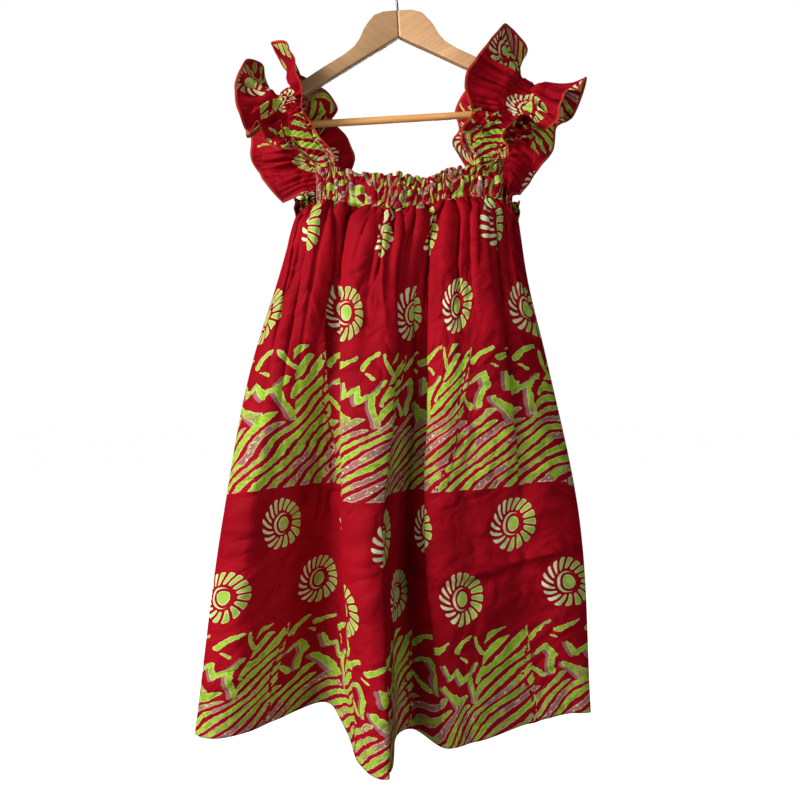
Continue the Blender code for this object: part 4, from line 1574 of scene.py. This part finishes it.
# The lamps: place and width in m, the setting that gives the power and the share of it
LAMPS = (
    ("key", (-2.6, -1.6, 0.35), 1.0, "key", 1.0),
    ("fill_right", (1.7, -2.2, -0.9), 1.2, "fill", 3.0),
    ("fill_left", (-0.8, -2.6, -0.9), 1.2, "fill", 1.0),
    ("top", (0.0, -0.2, 1.9), 1.6, "fill", 0.4),
    ("low", (-1.4, -2.0, -1.3), 1.2, "fill", 2.0),
    ("back", (0.6, 2.6, 0.4), 1.4, "key", 0.6),
)


def sew(name, runs, tree, **values):
    """Threads along runs, as a piece of their own."""
    item = grow(path_object(name, runs), tree, Thread=settings("cloth").thread, **values)
    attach(item, "root")


def stitch_rows(name, runs):
    """Rows of running stitches."""
    long = settings("cloth").stitch
    thread = thread_material(name, settings("print").deep_red)
    sew(name, runs, running_stitch_tree(), Spacing=long * 1.35, Length=long, Material=thread)


class DRESS_OT_panels(bpy.types.Operator):
    """Makes the front and back panels"""

    bl_idname = "dress.panels"
    bl_label = "Panels"

    def execute(self, context):
        sizes = settings("cloth")
        print_cloth = cotton("print_cotton")
        for name, (grid, flat), (top, hem) in (
            ("front_panel", front_grid(), FRONT_WIDTHS),
            ("back_panel", back_grid(), BACK_WIDTHS),
        ):
            item = cloth(name, grid, flat, sizes.wall, print_cloth)
            area = (top + hem) / 2 * sizes.drop
            normals = grid_normals(grid)[HEM_ROW]
            stitch_rows(name + "_hem_stitches", [(grid[HEM_ROW] + normals * sizes.wall * 0.5, normals)])
        return {"FINISHED"}


class DRESS_OT_casings(bpy.types.Operator):
    """Makes the gathered casings along the neckline"""

    bl_idname = "dress.casings"
    bl_label = "Casings"

    def execute(self, context):
        sizes = settings("cloth")
        band_cloth = cotton("casing_cotton", bare=0.0014)
        for name, (grid, flat), cut in (
            ("front_casing", front_casing(), (0.60, 0.045)),
            ("back_casing", back_casing(), (0.72, 0.034)),
        ):
            item = cloth(name, grid, flat, sizes.wall * 1.6, band_cloth)
            normals = grid_normals(grid)
            lines = grid + normals * sizes.wall * 0.8
            rows = [round((1 - share) * (CASING_ROWS - 1)) for share in STITCH_SHARES]
            stitch_rows(name + "_stitches", [(lines[row], normals[row]) for row in rows])
        return {"FINISHED"}


class DRESS_OT_straps(bpy.types.Operator):
    """Makes the two ruffled straps and their overlocked edges"""

    bl_idname = "dress.straps"
    bl_label = "Straps"

    def execute(self, context):
        sizes = settings("cloth")
        overlock = thread_material("overlock_thread", settings("print").overlock)
        threads = {
            "Spacing": sizes.overlock_pitch,
            "Width": sizes.overlock_width,
            "Height": (sizes.wall + sizes.thread) / 2,
            "Material": overlock,
        }
        tops = [made[0][0] + (0, 0, sizes.seam_gap) for made in (front_casing(), back_casing())]
        for name, table, side, seams, seed, cut in (
            ("strap_left", LEFT_STRAP, -1, LEFT_SEAMS, 41, LEFT_CUT),
            ("strap_right", RIGHT_STRAP, 1, RIGHT_SEAMS, 43, RIGHT_CUT),
        ):
            front_edge, back_edge = (landing(top, *seam) for top, seam in zip(tops, seams))
            grid = strap_grid(table, side, front_edge, back_edge, seed)
            strap_cloth = cotton(name + "_cotton", cut, 0.0010)
            item = cloth(name, grid, strap_places(grid, cut), sizes.wall, strap_cloth)
            line, normals = grid[3:-3], grid_normals(grid)[3:-3]
            runs = [(line[::-1, 0], normals[::-1, 0]), (line[:, -1], normals[:, -1])]
            sew(name + "_overlock", runs, overlock_tree(), **threads)
        return {"FINISHED"}


class DRESS_OT_hanger(bpy.types.Operator):
    """Makes the wooden hanger, its bar and its hook"""

    bl_idname = "dress.hanger"
    bl_label = "Hanger"

    def execute(self, context):
        sizes = settings("hanger")
        table = np.array(ARM_SECTIONS)
        stations = np.arange(len(table))
        sections = read_line(np.linspace(0, stations[-1], 90), stations, table) * MM
        # Each arm takes its own wood colour: painted shade on the left arm, painted light on the right one
        for name, side, pale in (
            ("hanger_arm_left", -1, sizes.shaded_wood_left),
            ("hanger_arm_right", 1, sizes.lit_wood_right),
        ):
            material = wood(name + "_wood", pale, darker(pale, 0.72), side * math.degrees(ARM_SLOPE))
            rings = [arm_outline(*section, side) for section in sections]
            place(loft(name + "_wood", rings, material), name, "wood")
        level = -sizes.drop - BAR_DROP
        bar = [hang((x, -BAR_FORWARD, level)) for x in np.linspace(-sizes.bar_half, sizes.bar_half, 12)]
        bar_wood = wood("bar_wood", sizes.bar_wood, sizes.bar_grain, 3.4)
        wire = steel("hook_steel")
        for node, name, slot, line, radius, sides, material in (
            ("hanger_bar", "hanger_bar_wood", "bar_wood", bar, sizes.bar_radius, 32, bar_wood),
            ("hanger_hook", "hanger_hook_steel", "steel", hook_path(), sizes.wire_radius, 20, wire),
        ):
            rod = path_object(name, [(line, [(0, 0, 1)] * len(line))])
            place(grow(rod, rod_tree(), Radius=radius, Sides=sides, Material=material), node, slot)
        return {"FINISHED"}


def floor_paint():
    """Paint that looks nearly even white from everywhere."""
    sh = Shader("floor_paint")
    shade = sh.mix(sh.noise(sh.object_place(), 3.0, 2.0, 0.5), (1.0, 1.0, 1.0), (0.99, 0.99, 0.99))
    return sh.finish({
        "Base Color": (0.30, 0.30, 0.30),
        "Emission Color": shade,
        "Emission Strength": 1.0,
        "Roughness": 0.9,
        "Specular IOR Level": 0.0,
    })


class DRESS_OT_stage(bpy.types.Operator):
    """Makes the floor, the lights and the camera"""

    bl_idname = "dress.stage"
    bl_label = "Stage"

    def execute(self, context):
        sizes = settings("stage")
        scene = context.scene
        scene.view_settings.view_transform = "Standard"
        world = bpy.data.worlds.new("studio")
        scene.world = world
        world.use_nodes = True
        sky = world.node_tree.nodes["Background"]
        sky.inputs["Color"].default_value = (1.0, 1.0, 1.0, 1.0)
        sky.inputs["Strength"].default_value = sizes.sky
        world.cycles_visibility.diffuse = False
        world.cycles_visibility.glossy = False
        corners = [(x * FLOOR_REACH, y * FLOOR_REACH, sizes.floor_height) for x, y in SQUARE]
        floor = make_mesh("floor", corners, [(0, 1, 2, 3)], material=floor_paint())
        floor.visible_diffuse = False
        floor.visible_glossy = False
        for name, spot, width, setting, share in LAMPS:
            lamp = bpy.data.lights.new(name, "AREA")
            lamp.energy = getattr(sizes, setting) * share
            lamp.size = width
            aim = Vector(LAMPS_AIM) - Vector(spot)
            item = show(name, lamp)
            item.location = spot
            item.rotation_euler = aim.to_track_quat("-Z", "Y").to_euler()
        lens = bpy.data.cameras.new("camera")
        lens.lens = sizes.lens
        lens.sensor_width = 36.0
        lens.clip_start = 0.05
        camera = show("camera", lens)
        camera.location = (CAMERA_SIDE, -sizes.distance, CAMERA_HEIGHT)
        camera.rotation_euler = (math.pi / 2, 0.0, 0.0)
        scene.camera = camera
        return {"FINISHED"}


class DRESS_PT_panel(bpy.types.Panel):
    """Lists the pieces of the dress"""

    bl_label = "Wax print dress"
    bl_idname = "DRESS_PT_panel"
    bl_space_type = "VIEW_3D"
    bl_region_type = "UI"
    bl_category = "Dress"

    def draw(self, context):
        for operator in OPERATORS:
            self.layout.operator(operator.bl_idname)
        for kind, group in GROUPS.items():
            box = self.layout.box()
            box.label(text=kind.title())
            for name in group.__annotations__:
                box.prop(getattr(context.scene, "dress_" + kind), name)


GROUPS = {
    "cloth": DressClothSettings,
    "print": DressPrintSettings,
    "hanger": DressHangerSettings,
    "stage": DressStageSettings,
}
OPERATORS = (DRESS_OT_stage, DRESS_OT_hanger, DRESS_OT_panels, DRESS_OT_casings, DRESS_OT_straps)


def register():
    for made in (*GROUPS.values(), *OPERATORS, DRESS_PT_panel):
        bpy.utils.register_class(made)
    for kind, group in GROUPS.items():
        setattr(bpy.types.Scene, "dress_" + kind, bpy.props.PointerProperty(type=group))


def unregister():
    for kind in GROUPS:
        delattr(bpy.types.Scene, "dress_" + kind)
    for made in (DRESS_PT_panel, *reversed(OPERATORS), *reversed(GROUPS.values())):
        bpy.utils.unregister_class(made)


def main():
    register()
    bpy.ops.dress.stage()
    bpy.ops.dress.hanger()
    bpy.ops.dress.panels()
    bpy.ops.dress.casings()
    bpy.ops.dress.straps()


if __name__ == "__main__":
    main()
